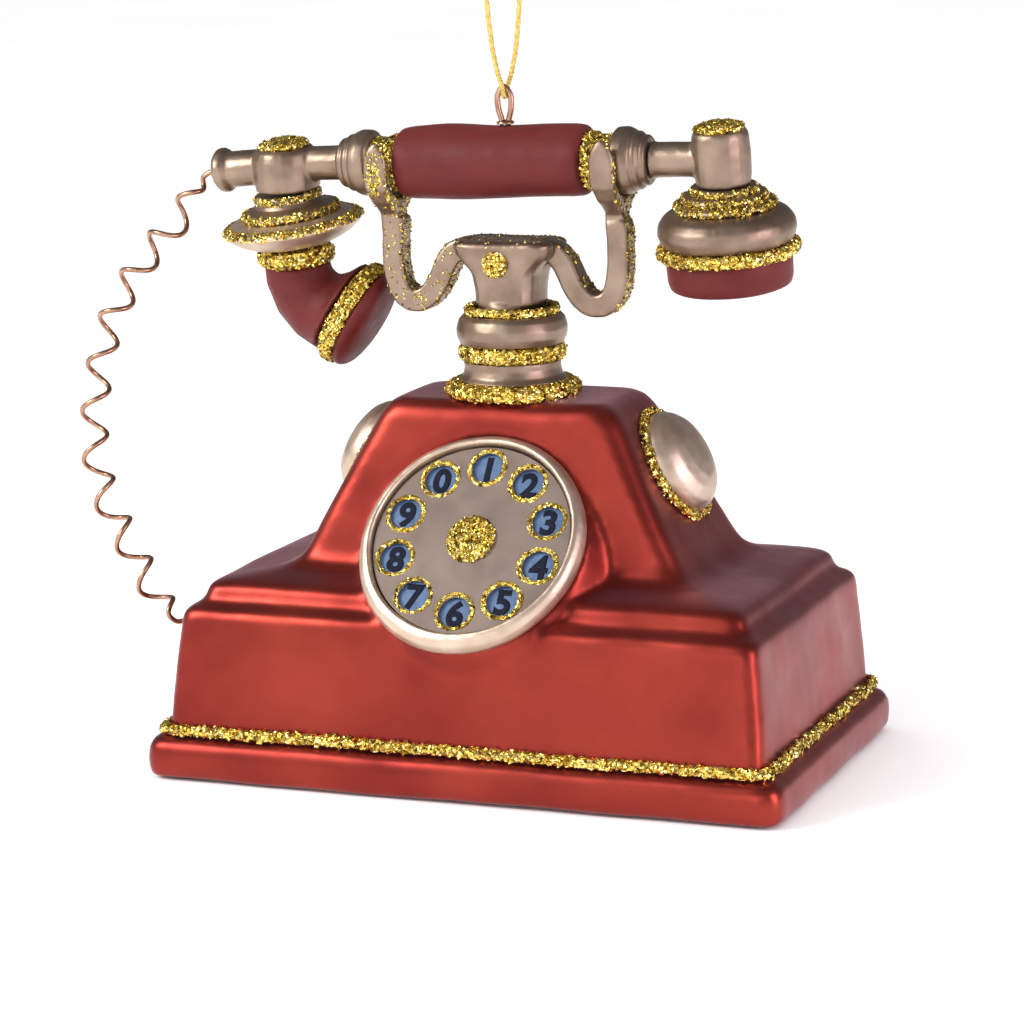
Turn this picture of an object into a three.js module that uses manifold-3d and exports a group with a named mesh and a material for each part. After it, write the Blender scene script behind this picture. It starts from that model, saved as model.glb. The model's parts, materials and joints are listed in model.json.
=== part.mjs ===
// A rotary desk telephone: a stepped metal case on a moulded plinth, a ten-hole dial,
// a neck with a sprung cradle, and a separate handset with a curly cord.
// Millimetres, +Z up, +X to the right of the dial, -Y towards the person who dials.
// The origin is under the middle of the case, on the surface it stands on.
import * as THREE from "three";
import { mergeVertices } from "three/addons/utils/BufferGeometryUtils.js";
import Module from "manifold-3d";

const wasm = await Module();
wasm.setup();

// ---- Driving dimensions ----
const GAP = 0.3; // between pieces that touch
const WIDTH = 250;
const DEPTH = 153;
const FOOT_HEIGHT = 0.9;
const PLINTH_TOP = 17;
// the plinth's top in the heights of all that stands on it, which a group raises to fit
const JOINT_LINE = 15;
const TRIM_HEIGHT = 4.2;
const WALL = 4;
const CASE = { hx: 117.4, hy: 71, topHx: 113, topFront: 64, topBack: 69.6, topZ: 63 };
const TOWER = { baseZ: 77, hx: 76.4, topZ: 138, topHx: 44.5, topFront: 22.5, topBack: 26.5 };
const DIAL = { y: -51.2, z: 93.2, tilt: 38, radius: 41.6, wheel: 38.2, holes: 10, holeCircle: 29.5,
  holeRadius: 6 };
const GEAR = { module: 1.2, teeth: 36, pinionTeeth: 10 };
const GONG = { radius: 20.2, height: 12, y: 8.8, z: 112 };
const NECK_X = -1;
const NECK_BORE = 15.3;
const PLUNGER = { radius: 2.5, bottomZ: 66 };
const CRADLE = { hubBottomZ: 171.9, hubTopZ: 196.3, barWidth: 8.6, barDepth: 10, prongY: 15.2 };
const HANDSET = { x: -4.8, z: 224.9, roll: 7, tilt: 1.5, grip: [-43, 31], gripRadius: 13.8 };
const TEE = { left: -92, right: 82.3, tubeRadius: 6.6 };
const CORD = { radius: 6 };
const THREAD_RADIUS = 0.95;

const RED = 0xb8402c;
const MATTE_RED = 0x91403e;
const GOLD = 0xc9a98c;
const GLITTER = 0xd7b93b;
const STEEL = 0x9a9da1;
const COPPER = 0xb98a70;

const FINISH = {
  body: { color: RED, roughness: 0.35, metalness: 0.6 },
  grip: { color: MATTE_RED, roughness: 0.7, metalness: 0 },
  gold: { color: GOLD, roughness: 0.38, metalness: 0.85 },
  glitter: { color: GLITTER, roughness: 0.45, metalness: 0.9 },
  face: { color: 0xb5a08c, roughness: 0.4, metalness: 0.5 },
  number: { color: 0x5a78a5, roughness: 0.5, metalness: 0 },
  steel: { color: STEEL, roughness: 0.4, metalness: 0.9 },
  brass: { color: 0xb08d4a, roughness: 0.35, metalness: 0.9 },
  coil: { color: 0x8c4a22, roughness: 0.5, metalness: 0.4 },
  rubber: { color: 0x202020, roughness: 0.9, metalness: 0 },
  copper: { color: COPPER, roughness: 0.35, metalness: 0.9 },
  thread: { color: 0xc8a94a, roughness: 0.6, metalness: 0.4 },
};

const telephone = new THREE.Group();
telephone.name = "rotary_telephone";
const upper = new THREE.Group(); // all that stands on the plinth
upper.position.z = PLINTH_TOP - JOINT_LINE;
telephone.add(upper);

// ---- Solid helpers ----
const radians = THREE.MathUtils.degToRad;

// A geometry as a manifold-3d solid.
function solid(geometry) {
  const bare = geometry.clone();
  bare.deleteAttribute("normal");
  bare.deleteAttribute("uv");
  const merged = mergeVertices(bare, 1e-4);
  return new wasm.Manifold(
    new wasm.Mesh({
      numProp: 3,
      vertProperties: new Float32Array(merged.attributes.position.array),
      triVerts: new Uint32Array(merged.index.array),
    }),
  );
}

// A manifold-3d solid as a geometry.
function geometryOf(made) {
  const mesh = made.getMesh();
  const geometry = new THREE.BufferGeometry();
  geometry.setAttribute("position", new THREE.BufferAttribute(mesh.vertProperties, 3));
  geometry.setIndex(new THREE.BufferAttribute(mesh.triVerts, 1));
  geometry.computeVertexNormals();
  return geometry;
}

function union(...geometries) {
  return geometryOf(geometries.map(solid).reduce((a, b) => a.add(b)));
}

function cut(body, ...tools) {
  return geometryOf(tools.map(solid).reduce((a, b) => a.subtract(b), solid(body)));
}

function common(a, b) {
  return geometryOf(solid(a).intersect(solid(b)));
}

// A body of revolution about Z. The profile is [radius, z] pairs, from the bottom up on the outside.
function turned(profile, segments = 20) {
  const points = profile.map(([r, z]) => new THREE.Vector2(r, z));
  return new THREE.LatheGeometry(points, segments).rotateX(Math.PI / 2);
}

// A disc or plug about Z.
function cylinder(radius, z0, z1, segments = 16) {
  return turned([[0, z0], [radius, z0], [radius, z1], [0, z1]], segments);
}

// A ring about Z, from an outer outline of [radius, z] pairs and a straight bore.
function ring(outline, bore, segments = 20) {
  const z0 = outline[0][1];
  const z1 = outline[outline.length - 1][1];
  return turned([[bore, z0], ...outline, [bore, z1], [bore, z0]], segments);
}

// The outline of a bead between z0 and z1 that swells to the radius.
function bead(radius, z0, z1, swell = 1.2, steps = 3) {
  const outline = [];
  for (let i = 0; i <= steps; i++) {
    const a = (Math.PI * i) / steps;
    outline.push([radius - swell * (1 - Math.sin(a)), (z0 + z1) / 2 - ((z1 - z0) / 2) * Math.cos(a)]);
  }
  return outline;
}

// A closed solid through a stack of rounded rectangles {z, hx, hy, r}.
function loft(sections, cornerSteps = 3) {
  const positions = [];
  const index = [];
  const perSection = 4 * (cornerSteps + 1);
  for (const { z, hx, hy, r, x = 0, y = 0 } of sections) {
    for (let corner = 0; corner < 4; corner++) {
      const sx = corner === 0 || corner === 3 ? 1 : -1;
      const sy = corner < 2 ? 1 : -1;
      for (let i = 0; i <= cornerSteps; i++) {
        const a = (Math.PI / 2) * (corner + i / cornerSteps);
        positions.push(x + sx * (hx - r) + r * Math.cos(a), y + sy * (hy - r) + r * Math.sin(a), z);
      }
    }
  }
  for (let s = 0; s + 1 < sections.length; s++) {
    for (let i = 0; i < perSection; i++) {
      const a = s * perSection + i;
      const b = s * perSection + ((i + 1) % perSection);
      index.push(a, b, a + perSection, b, b + perSection, a + perSection);
    }
  }
  const top = (sections.length - 1) * perSection;
  for (let i = 1; i + 1 < perSection; i++) {
    index.push(0, i + 1, i);
    index.push(top, top + i, top + i + 1);
  }
  const geometry = new THREE.BufferGeometry();
  geometry.setAttribute("position", new THREE.Float32BufferAttribute(positions, 3));
  geometry.setIndex(index);
  return geometry;
}

function block(x0, x1, y0, y1, z0, z1) {
  return new THREE.BoxGeometry(x1 - x0, y1 - y0, z1 - z0).translate((x0 + x1) / 2, (y0 + y1) / 2,
    (z0 + z1) / 2);
}

// A plate with an outline of [x, y] pairs, from z0 to z1.
function plate(outline, z0, z1) {
  const shape = new THREE.Shape(outline.map(([x, y]) => new THREE.Vector2(x, y)));
  return new THREE.ExtrudeGeometry(shape, { depth: z1 - z0, bevelEnabled: false }).translate(0, 0, z0);
}

// A tube of n sides along a smooth curve.
function tube(points, radius, steps, sides = 8, closed = false) {
  const curve = new THREE.CatmullRomCurve3(points.map((p) => new THREE.Vector3(...p)), closed,
    "centripetal");
  const section = new THREE.Shape();
  for (let i = 0; i < sides; i++) {
    const a = (2 * Math.PI * (i + 0.5)) / sides;
    section[i ? "lineTo" : "moveTo"](radius * Math.cos(a), radius * Math.sin(a));
  }
  return new THREE.ExtrudeGeometry(section, { steps, extrudePath: curve, bevelEnabled: false });
}

// A flat bar of the given width along a smooth curve of [u, v] points, as an outline.
function ribbonOutline(points, width, steps) {
  const curve = new THREE.SplineCurve(points.map(([u, v]) => new THREE.Vector2(u, v)));
  const left = [];
  const right = [];
  for (let i = 0; i <= steps; i++) {
    const p = curve.getPointAt(i / steps);
    const t = curve.getTangentAt(i / steps);
    left.push([p.x - (t.y * width) / 2, p.y + (t.x * width) / 2]);
    right.push([p.x + (t.y * width) / 2, p.y - (t.x * width) / 2]);
  }
  return [...left, ...right.reverse()];
}

function material(finish) {
  return new THREE.MeshStandardMaterial(FINISH[finish]);
}

function place(group, name, geometry, finish) {
  const mesh = new THREE.Mesh(geometry, material(finish));
  mesh.name = name;
  group.add(mesh);
  return mesh;
}

// ---- Plinth, bottom plate, feet and trim ----
const RECESS = { hx: 104, hy: 56, top: 5.8 };

function plinth() {
  const outside = loft([
    { z: FOOT_HEIGHT, hx: WIDTH / 2 - 1.8, hy: DEPTH / 2 - 1.8, r: 5 },
    { z: 2.4, hx: WIDTH / 2 - 0.5, hy: DEPTH / 2 - 0.5, r: 6.5 },
    { z: 5.5, hx: WIDTH / 2, hy: DEPTH / 2, r: 7 },
    { z: 11, hx: WIDTH / 2, hy: DEPTH / 2, r: 7 },
    { z: 14, hx: WIDTH / 2 - 0.9, hy: DEPTH / 2 - 0.9, r: 6.5 },
    { z: 16, hx: WIDTH / 2 - 2.8, hy: DEPTH / 2 - 2.8, r: 5 },
    { z: PLINTH_TOP, hx: WIDTH / 2 - 5.2, hy: DEPTH / 2 - 5.2, r: 4 },
  ]);
  const recess = loft([
    { z: 0, hx: RECESS.hx, hy: RECESS.hy, r: 8 },
    { z: RECESS.top, hx: RECESS.hx, hy: RECESS.hy, r: 8 },
  ]);
  const opening = loft([
    { z: 5, hx: 96, hy: 48, r: 8 },
    { z: 20, hx: 96, hy: 48, r: 8 },
  ]);
  const studs = footPlaces().map(([x, y]) => cylinder(3.3, 0, 9, 12).translate(x, y, 0));
  return cut(outside, recess, opening, ...studs);
}

function footPlaces() {
  return [[-112, -64.5], [112, -64.5], [-112, 64.5], [112, 64.5]];
}

function foot() {
  return turned([[0, 0], [6.4, 0], [7, 0.5], [7, FOOT_HEIGHT - GAP], [3, FOOT_HEIGHT - GAP], [3, 8.5],
    [0, 8.5]], 16);
}

function bottomPlate() {
  return loft([
    { z: 2.6, hx: RECESS.hx - GAP, hy: RECESS.hy - GAP, r: 8 },
    { z: RECESS.top - GAP, hx: RECESS.hx - GAP, hy: RECESS.hy - GAP, r: 8 },
  ], 3);
}

function baseTrim() {
  const z0 = JOINT_LINE + GAP;
  const z1 = z0 + TRIM_HEIGHT;
  const outer = [
    { z: z0, hx: 120, hy: 73.4, r: 6 },
    { z: z0 + 1.4, hx: 120.7, hy: 74.1, r: 6.5 },
    { z: z0 + 2.9, hx: 120.2, hy: 73.7, r: 6.3 },
    { z: z1, hx: 118.4, hy: 72, r: 6 },
  ];
  const inside = { hx: CASE.hx + GAP, hy: CASE.hy + GAP, r: 5 };
  return cut(loft(outer), loft([{ z: z0 - 1, ...inside }, { z: z1 + 1, ...inside }]));
}

// ---- Case: the stepped shell with the tower and the dial cup ----
// Half-depths towards the front and the back, as the middle and half-depth of a section.
function reach(front, back) {
  return { y: (back - front) / 2, hy: (front + back) / 2 };
}

// Runs of the outer surface from the bottom up: the sides, the ledge, the shoulder, the tower.
function caseSections() {
  const { topHx, topFront: front, topBack: back, topZ } = CASE;
  return [
    { z: JOINT_LINE + GAP, hx: CASE.hx, hy: CASE.hy, r: 5 },
    { z: topZ - 4.4, hx: topHx + 0.4, ...reach(front + 0.6, back + 0.4), r: 5 },
    { z: topZ - 1.4, hx: topHx - 0.7, ...reach(front - 0.6, back - 0.4), r: 5 },
    { z: topZ, hx: topHx - 3, ...reach(front - 3, back - 2.8), r: 5 },
    { z: topZ + 0.8, hx: 107.8, ...reach(58.8, 64.6), r: 5 },
    { z: 66, hx: 106.6, ...reach(57.6, 63.4), r: 5 },
    { z: 69, hx: 106, ...reach(57, 62.8), r: 5 },
    { z: 71, hx: 104.4, ...reach(55.4, 61.2), r: 5 },
    { z: 72.2, hx: 100.6, ...reach(52, 57.8), r: 6 },
    { z: 74.6, hx: 83, ...reach(42, 46.6), r: 6 },
    { z: TOWER.baseZ, hx: TOWER.hx + 1, ...reach(38, 43), r: 6 },
    { z: 81, hx: 74.6, ...reach(36, 41.2), r: 6 },
    { z: TOWER.topZ - 6, hx: TOWER.topHx + 3.2, ...reach(TOWER.topFront + 1.8, TOWER.topBack + 2),
      r: 7 },
    { z: TOWER.topZ - 2, hx: TOWER.topHx, ...reach(TOWER.topFront - 0.4, TOWER.topBack - 0.4), r: 7 },
    { z: TOWER.topZ, hx: TOWER.topHx - 4, ...reach(TOWER.topFront - 4, TOWER.topBack - 4), r: 6 },
  ];
}

// The hollow, a wall's thickness inside.
function hollowSections() {
  return [
    { z: 10, hx: CASE.hx - WALL, hy: CASE.hy - WALL, r: 4 },
    { z: CASE.topZ - 6, hx: CASE.topHx - WALL, ...reach(60, 65.6), r: 4 },
    { z: CASE.topZ - 3, hx: 103, ...reach(54, 60), r: 4 },
    { z: 67.5, hx: 98, ...reach(50, 56), r: 4 },
    { z: 71.5, hx: 80, ...reach(39, 43), r: 4 },
    { z: 76, hx: 72.5, ...reach(33, 38.4), r: 4 },
    { z: TOWER.topZ - 8, hx: TOWER.topHx, ...reach(20, 24), r: 4 },
    { z: TOWER.topZ - WALL, hx: TOWER.topHx - 5, ...reach(16.5, 20), r: 4 },
  ];
}

// Puts a geometry made about +Z onto the dial's axis, with z = 0 at the front of its rim.
function onDial(geometry) {
  return geometry.rotateX(radians(90 - DIAL.tilt)).translate(0, DIAL.y, DIAL.z);
}

// Puts a geometry made about +Z onto a gong's axis, with z = 0 on the tower's side.
function onSide(geometry, side) {
  const slope = Math.atan2(TOWER.hx - TOWER.topHx, TOWER.topZ - TOWER.baseZ);
  const rise = GONG.z - 81;
  const x = 74.6 - ((74.6 - (TOWER.topHx + 3.2)) * rise) / (TOWER.topZ - 6 - 81);
  return geometry.rotateY(side * (Math.PI / 2 - slope)).translate(side * x, GONG.y, GONG.z);
}

function caseShell() {
  const cup = onDial(turned([[0, -30], [50.5, -30], [49, -20], [45.6, -13], [43.6, -9.6], [43, -8],
    [0, -8]], 30));
  const bore = onDial(cylinder(DIAL.radius - 2, -60, 5, 30));
  const seat = onDial(cylinder(DIAL.radius - 1, -9, 5, 30));
  const rimSpace = onDial(cylinder(DIAL.radius + 0.8, -7.9, 12, 30));
  const neckHole = cylinder(PLUNGER.radius + 1, 120, 150, 16).translate(NECK_X, 0, 0);
  const hammerSlots = [-1, 1].map((side) => onSide(block(-14, -1, -3.8, 3.8, -14,
    3).rotateZ(side > 0 ? Math.PI : 0), side));
  const cordHole = cylinder(3.2, 100, 130, 12).rotateY(-Math.PI / 2).translate(0, -40, 52);
  const inletHole = cylinder(4.2, 50, 90, 12).rotateX(-Math.PI / 2).translate(60, 0, 32);
  return cut(union(loft(caseSections()), cup), loft(hollowSections()), bore, seat, rimSpace, neckHole,
    ...hammerSlots, cordHole, inletHole);
}

// ---- Grommets for the two cords ----
function cordGrommet() {
  const outline = [[2.9, 107], [2.9, 115.1], [5.6, 115.1], [5.6, 116.3], [4.6, 118], [0, 118]];
  return turned([[0, 107], ...outline], 16).rotateY(-Math.PI / 2).translate(0, -40, 52);
}

function lineInlet() {
  const outline = [[3.9, 62], [3.9, 71.2], [7, 71.2], [7, 72.8], [5.4, 76.4], [1.8, 76.4], [1.8, 63],
    [0, 63]];
  return turned([[0, 62], ...outline], 16).rotateX(-Math.PI / 2).translate(60, 0, 32);
}

function buildCase() {
  place(telephone, "plinth", plinth(), "body");
  place(telephone, "bottom_plate", bottomPlate(), "steel");
  footPlaces().forEach(([x, y], i) => {
    place(telephone, "foot_" + (i + 1), foot(), "rubber").position.set(x, y, 0);
  });
  place(upper, "base_trim", baseTrim(), "glitter");
  place(upper, "body_shell", caseShell(), "body");
  place(upper, "cord_grommet", cordGrommet(), "rubber");
  place(upper, "line_inlet", lineInlet(), "rubber");
}

// ---- Dial ----
// Depths along the dial's axis, from the front of the rim.
const DEPTHS = { wheel: [-3.4, -1.2], numbers: [-5.8, -4], frame: [-8.6, -6.6], gear: [-14, -11.4],
  bridge: [-19.5, -17.5] };

// The rim stands proud of the cup, on a spigot inside it.
function dialBezel() {
  const inner = DIAL.wheel + 0.4;
  const outer = DIAL.radius;
  return turned([
    [inner, -8.8], [outer - 1.3, -8.8], [outer - 1.3, -7.7], [outer, -7.7], [outer + 0.3, -4],
      [outer, -1.4], [outer - 0.9, -0.2],
    [outer - 1.9, 0], [inner + 0.5, -0.5], [inner, -1.4], [inner, -8.8],
  ], 30);
}

function numberPlate() {
  return ring([[DIAL.wheel, DEPTHS.numbers[0]], [DIAL.wheel, DEPTHS.numbers[1]]], 3.4, 30);
}

function fingerWheel() {
  const disc = ring([[DIAL.wheel, DEPTHS.wheel[0]], [DIAL.wheel, DEPTHS.wheel[1] - 0.5],
    [DIAL.wheel - 0.5, DEPTHS.wheel[1]]], 3, 30);
  const holes = [];
  for (let i = 0; i < DIAL.holes; i++) {
    const a = Math.PI / 2 - (2 * Math.PI * i) / DIAL.holes;
    holes.push(cylinder(DIAL.holeRadius, -6, 2, 12).translate(DIAL.holeCircle * Math.cos(a),
      DIAL.holeCircle * Math.sin(a), 0));
  }
  return cut(disc, ...holes);
}

// The boss covers the shaft's head.
function centreBoss() {
  const z0 = DEPTHS.wheel[1] + GAP;
  return turned([[0, z0], [9, z0], [8.8, z0 + 0.8], [6.8, z0 + 2], [3.6, z0 + 2.8], [0, z0 + 3]], 24);
}

// Trapezoid teeth with clearance, about Z.
function gearDisc(teeth, z0, z1, turn = 0) {
  const pitch = (GEAR.module * teeth) / 2;
  const root = pitch - 1.3 * GEAR.module;
  const tip = pitch + 0.85 * GEAR.module;
  const outline = [];
  const step = (2 * Math.PI) / teeth;
  for (let i = 0; i < teeth; i++) {
    const middle = i * step + turn;
    const corners = [[root, -0.31], [tip, -0.1], [tip, 0.1], [root, 0.31]];
    for (const [r, share] of corners) outline.push([r * Math.cos(middle + share * step),
      r * Math.sin(middle + share * step)]);
  }
  return plate(outline, z0, z1);
}

function dialShaft() {
  const rod = cylinder(2.6, -22, DEPTHS.wheel[1], 16);
  return union(rod, gearDisc(GEAR.teeth, ...DEPTHS.gear));
}

// The governor's pinion sits above the shaft, in mesh with the gear, with fly weights behind.
const GOVERNOR_Y = (GEAR.module * (GEAR.teeth + GEAR.pinionTeeth)) / 2 + 0.15;

function governor() {
  const pinion = gearDisc(GEAR.pinionTeeth, DEPTHS.gear[0] - 0.6, DEPTHS.gear[1] + 0.6,
    Math.PI / GEAR.pinionTeeth + Math.PI / 2);
  const shaft = cylinder(1.2, -21, DEPTHS.gear[1] + 2, 12);
  const fly = block(-5, 5, -1.6, 1.6, -16.6, -15);
  return union(pinion, shaft, fly).rotateZ(Math.PI);
}

// A front plate and a bridge behind it, joined by pillars, carry both shafts.
function dialFrame() {
  const front = cylinder(DIAL.wheel, ...DEPTHS.frame, 24);
  const bridge = plate([[-27, -12], [27, -12], [20, 12], [12, 24], [12, 35.4], [-12, 35.4], [-12, 24],
    [-20, 12]], ...DEPTHS.bridge);
  const pillars = [[-24, -10], [24, -10], [-9.4, 32.8],
    [9.4, 32.8]].map(([x, y]) => cylinder(2.2, DEPTHS.bridge[0], DEPTHS.frame[1], 8).translate(x, y,
    0));
  const shaftHole = cylinder(3, -30, 0, 16);
  const governorHole = cylinder(1.6, -30, 0, 12).translate(0, GOVERNOR_Y, 0);
  return cut(union(front, bridge, ...pillars), shaftHole, governorHole);
}

function buildDial() {
  const dial = new THREE.Group();
  place(dial, "dial_bezel", dialBezel(), "face");
  place(dial, "number_plate", numberPlate(), "number");
  place(dial, "dial_frame", dialFrame(), "steel");
  place(dial, "finger_wheel", fingerWheel(), "face");
  place(dial, "centre_boss", centreBoss(), "glitter");
  place(dial, "dial_shaft", dialShaft(), "steel");
  place(dial, "governor", governor(), "brass").position.set(0, GOVERNOR_Y, 0);
  dial.position.set(0, DIAL.y, DIAL.z);
  dial.rotation.x = radians(90 - DIAL.tilt);
  upper.add(dial);
}

// ---- Ringer: two coils, a rocking clapper and a gong on each side of the tower ----
const RINGER = { y: 26, pivotZ: 58, coilX: 17 };

function ringerFrame() {
  const foot = block(-32, 32, RINGER.y - 12, RINGER.y + 14, 3.8, 8.8);
  const upright = block(-8, 8, RINGER.y + 11, RINGER.y + 14, 8, 66);
  const pin = cylinder(2, RINGER.y - 2.5, RINGER.y + 12, 12).rotateX(-Math.PI / 2).translate(0, 0,
    RINGER.pivotZ);
  return union(foot, upright, pin);
}

function coil() {
  return turned([[0, 9.1], [10.5, 9.1], [10.5, 11], [9.4, 11], [9.4, 42], [10.5, 42], [10.5, 44],
    [3.5, 44], [3.5, 47.5], [0, 47.5]], 20);
}

// An armature over the coils, with a rod up to a cross bar that carries a hammer at each end.
function clapper() {
  const hub = cylinder(5, RINGER.y - 3, RINGER.y + 3, 16).rotateX(-Math.PI / 2).translate(0, 0,
    RINGER.pivotZ);
  const bore = cylinder(2.3, RINGER.y - 5, RINGER.y + 5, 16).rotateX(-Math.PI / 2).translate(0, 0,
    RINGER.pivotZ);
  const armature = block(-24, 24, RINGER.y - 5, RINGER.y + 3, 51, 54.5);
  const back = tube([[0, RINGER.y, 60], [0, RINGER.y - 4, 80], [0, GONG.y, 98],
    [0, GONG.y, 106.2]], 1.6, 6, 6);
  const bar = cylinder(1.5, -65, 65, 6).rotateY(Math.PI / 2).translate(0, GONG.y, 105.4);
  const hammers = [-1, 1].map((side) => new THREE.SphereGeometry(3, 8, 5).translate(side * 65, GONG.y,
    105.4));
  return cut(union(hub, armature, back, bar, ...hammers), bore);
}

// A dome with a hollow, on a stem that goes down to the tower's side.
function gong() {
  const r = GONG.radius;
  const h = GONG.height;
  const outer = [[r, GAP], [r * 0.985, h * 0.25], [r * 0.9, h * 0.52], [r * 0.74, h * 0.76],
    [r * 0.5, h * 0.92], [r * 0.24, h * 0.985], [0, h]];
  const inner = [[3, h - 2.2], [r * 0.5, h * 0.92 - 2.2], [r * 0.74 - 1.2, h * 0.76 - 1.9],
    [r * 0.9 - 2, h * 0.52 - 1.2], [r - 2.2, h * 0.25], [r - 2.2, GAP]];
  return turned([[0, GAP], [3, GAP], ...inner, ...outer], 20);
}

function buildRinger() {
  const ringer = new THREE.Group();
  place(ringer, "ringer_frame", ringerFrame(), "steel");
  place(ringer, "coil_left", coil(), "coil").position.set(-RINGER.coilX, RINGER.y - 1, 0);
  place(ringer, "coil_right", coil(), "coil").position.set(RINGER.coilX, RINGER.y - 1, 0);
  place(ringer, "clapper", clapper(), "brass");
  place(ringer, "gong_left", onSide(gong(), -1), "gold");
  place(ringer, "gong_right", onSide(gong(), 1), "gold");
  upper.add(ringer);
}

// ---- Neck: a stack of collars around the plunger ----
function buildNeck() {
  const neck = new THREE.Group();
  const z0 = TOWER.topZ + GAP;
  const collars = [
    ["neck_flange", "glitter", [[26, z0], [27, z0 + 1.6], [26.4, z0 + 3.6], [24.2, z0 + 4.9]]],
    ["neck_collar_lower", "gold", [[20.6, z0 + 5.2], [18.6, z0 + 7], [17.8, z0 + 10],
      [18.4, z0 + 12.6]]],
    ["neck_ring", "glitter", bead(21, z0 + 12.9, z0 + 18.6, 1.6)],
    ["neck_collar_upper", "gold", [[19.4, z0 + 18.9], [20.8, z0 + 22], [21, z0 + 25], [20, z0 + 28.4],
      [18.2, z0 + 30.2]]],
    ["neck_ring_thin", "glitter", bead(18.9, z0 + 30.5, z0 + 33.2, 0.9)],
  ];
  for (const [name, finish, outline] of collars) {
    place(neck, name, ring(outline, NECK_BORE, 20), finish).position.x = NECK_X;
  }
  upper.add(neck);
}

// ---- Cradle: a hub with two curved arms that fork round the handset's necks ----
function cradleHub() {
  const z0 = CRADLE.hubBottomZ;
  const z1 = CRADLE.hubTopZ;
  const block = loft([
    { z: z0, hx: 16.6, hy: 13.4, r: 10 },
    { z: z0 + 6, hx: 16.8, hy: 13.6, r: 10 },
    { z: z1 - 8, hx: 18.4, hy: 14, r: 8 },
    { z: z1 - 1.6, hx: 20, hy: 14.2, r: 7 },
    { z: z1, hx: 18.4, hy: 12.6, r: 6 },
  ]);
  const spigot = cylinder(NECK_BORE - 0.4, 156.5, z0 + 1, 28);
  const socket = cylinder(PLUNGER.radius + GAP, 150, 166.3, 16);
  const hub = cut(union(block, spigot), socket).translate(NECK_X, 0, 0);
  const armSeats = [-1, 1].map((side) => armBar(side, GAP));
  return cut(hub, ...armSeats);
}

// The middle line of an arm in the X-Z plane, from inside the hub to under the fork.
function armLine(side) {
  const line = [[12, 192.4], [17.4, 191.4], [21.4, 186.6], [24.8, 179.4], [29.6, 173.6], [35.4, 172],
    [40.4, 176], [42.6, 185], [42.8, 195], [42.4, 204]];
  return line.map(([x, z]) => [side * (side > 0 ? x : x + 4.4), z]);
}

function armBar(side, grow = 0) {
  const outline = ribbonOutline(armLine(side), CRADLE.barWidth + 2 * grow, 22);
  const depth = CRADLE.barDepth / 2 + grow;
  return plate(side > 0 ? outline : outline.reverse(), -depth, depth).rotateX(Math.PI / 2);
}

// Two prongs, in front of and behind the handset's neck, with a leaf-shaped front.
function armFork(side) {
  const x = side > 0 ? 41.4 : -48.2;
  const y = CRADLE.prongY;
  const z = HANDSET.z + Math.tan(radians(HANDSET.tilt)) * (x - HANDSET.x);
  const sweep = plate([
    [-3, z - 25], [3, z - 25], [4.5, z - 19.5], [y - 3, z - 14], [y + 1.2, z - 8.6], [y + 2, z + 4],
      [y + 1, z + 9.6], [y - 1, z + 9.6],
    [y - 2.2, z], [y - 2.4, z - 6], [7, z - 11.4], [0, z - 13], [-7, z - 11.4], [2.4 - y, z - 6],
      [2.2 - y, z], [1 - y, z + 9.6],
    [-y - 1, z + 9.6], [-y - 2, z + 4], [-y - 1.2, z - 8.6], [3 - y, z - 14], [-4.5, z - 19.5],
  ], -12, 12).rotateX(Math.PI / 2).rotateZ(Math.PI / 2).translate(x, 0, 0);
  const leaf = plate([
    [x - 4, z - 26], [x + 4, z - 26], [x + 3.6, z - 17], [x + 4.6, z - 8], [x + 4.8, z + 2],
      [x + 2.6, z + 7.6], [x, z + 9.4],
    [x - 2.6, z + 8], [x - 4.8, z + 2.6], [x - 5, z - 6], [x - 3.4, z - 16],
  ], -25, 25).rotateX(Math.PI / 2);
  return common(sweep, leaf);
}

function rosette() {
  return turned([[0, 0], [4.4, 0], [4.6, 0.8], [3.8, 1.7], [2, 2.1], [0, 2.2]], 20)
    .rotateX(Math.PI / 2).translate(NECK_X - 0.6, -14.35, 188.2);
}

// The spring stands on the tower's top and pushes on the hub's spigot.
function plungerSpring() {
  return ring([[8, TOWER.topZ + GAP], [8, 156.2]], 4.4, 20).translate(NECK_X, 0, 0);
}

function plungerRod() {
  return cylinder(PLUNGER.radius, PLUNGER.bottomZ, 166, 14).translate(NECK_X, 0, 0);
}

function buildCradle() {
  const cradle = new THREE.Group();
  place(cradle, "cradle_hub", cradleHub(), "gold");
  place(cradle, "arm_left", union(armBar(-1), armFork(-1)), "gold");
  place(cradle, "arm_right", union(armBar(1), armFork(1)), "gold");
  place(cradle, "hub_rosette", rosette(), "glitter");
  place(cradle, "plunger_rod", plungerRod(), "steel");
  place(cradle, "plunger_spring", plungerSpring(), "steel");
  upper.add(cradle);
}

// ---- Hook switch under the plunger ----
const LEVER = { pivotX: 21, z: 64.5 };

function switchBracket() {
  const post = block(16, 19, -7, 7, 3.8, 60);
  const shelf = block(16, 34, -7, 7, 57, 60);
  const pin = cylinder(1.6, -5, 5, 12).rotateX(Math.PI / 2).translate(LEVER.pivotX, 0, LEVER.z);
  const ear = block(LEVER.pivotX - 2, LEVER.pivotX + 2, 4.6, 6.6, 58, 67);
  const contacts = block(28, 33, -3, 3, 59, 60.8);
  return union(post, shelf, pin, ear, contacts);
}

function switchLever() {
  const arm = block(-5, 24, -2.5, 2.5, -1.2, 1.2).translate(0, 0, LEVER.z);
  const eye = cylinder(3, -2.5, 2.5, 16).rotateX(Math.PI / 2).translate(LEVER.pivotX, 0, LEVER.z);
  const bore = cylinder(1.9, -4, 4, 16).rotateX(Math.PI / 2).translate(LEVER.pivotX, 0, LEVER.z);
  return cut(union(arm, eye), bore);
}

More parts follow.
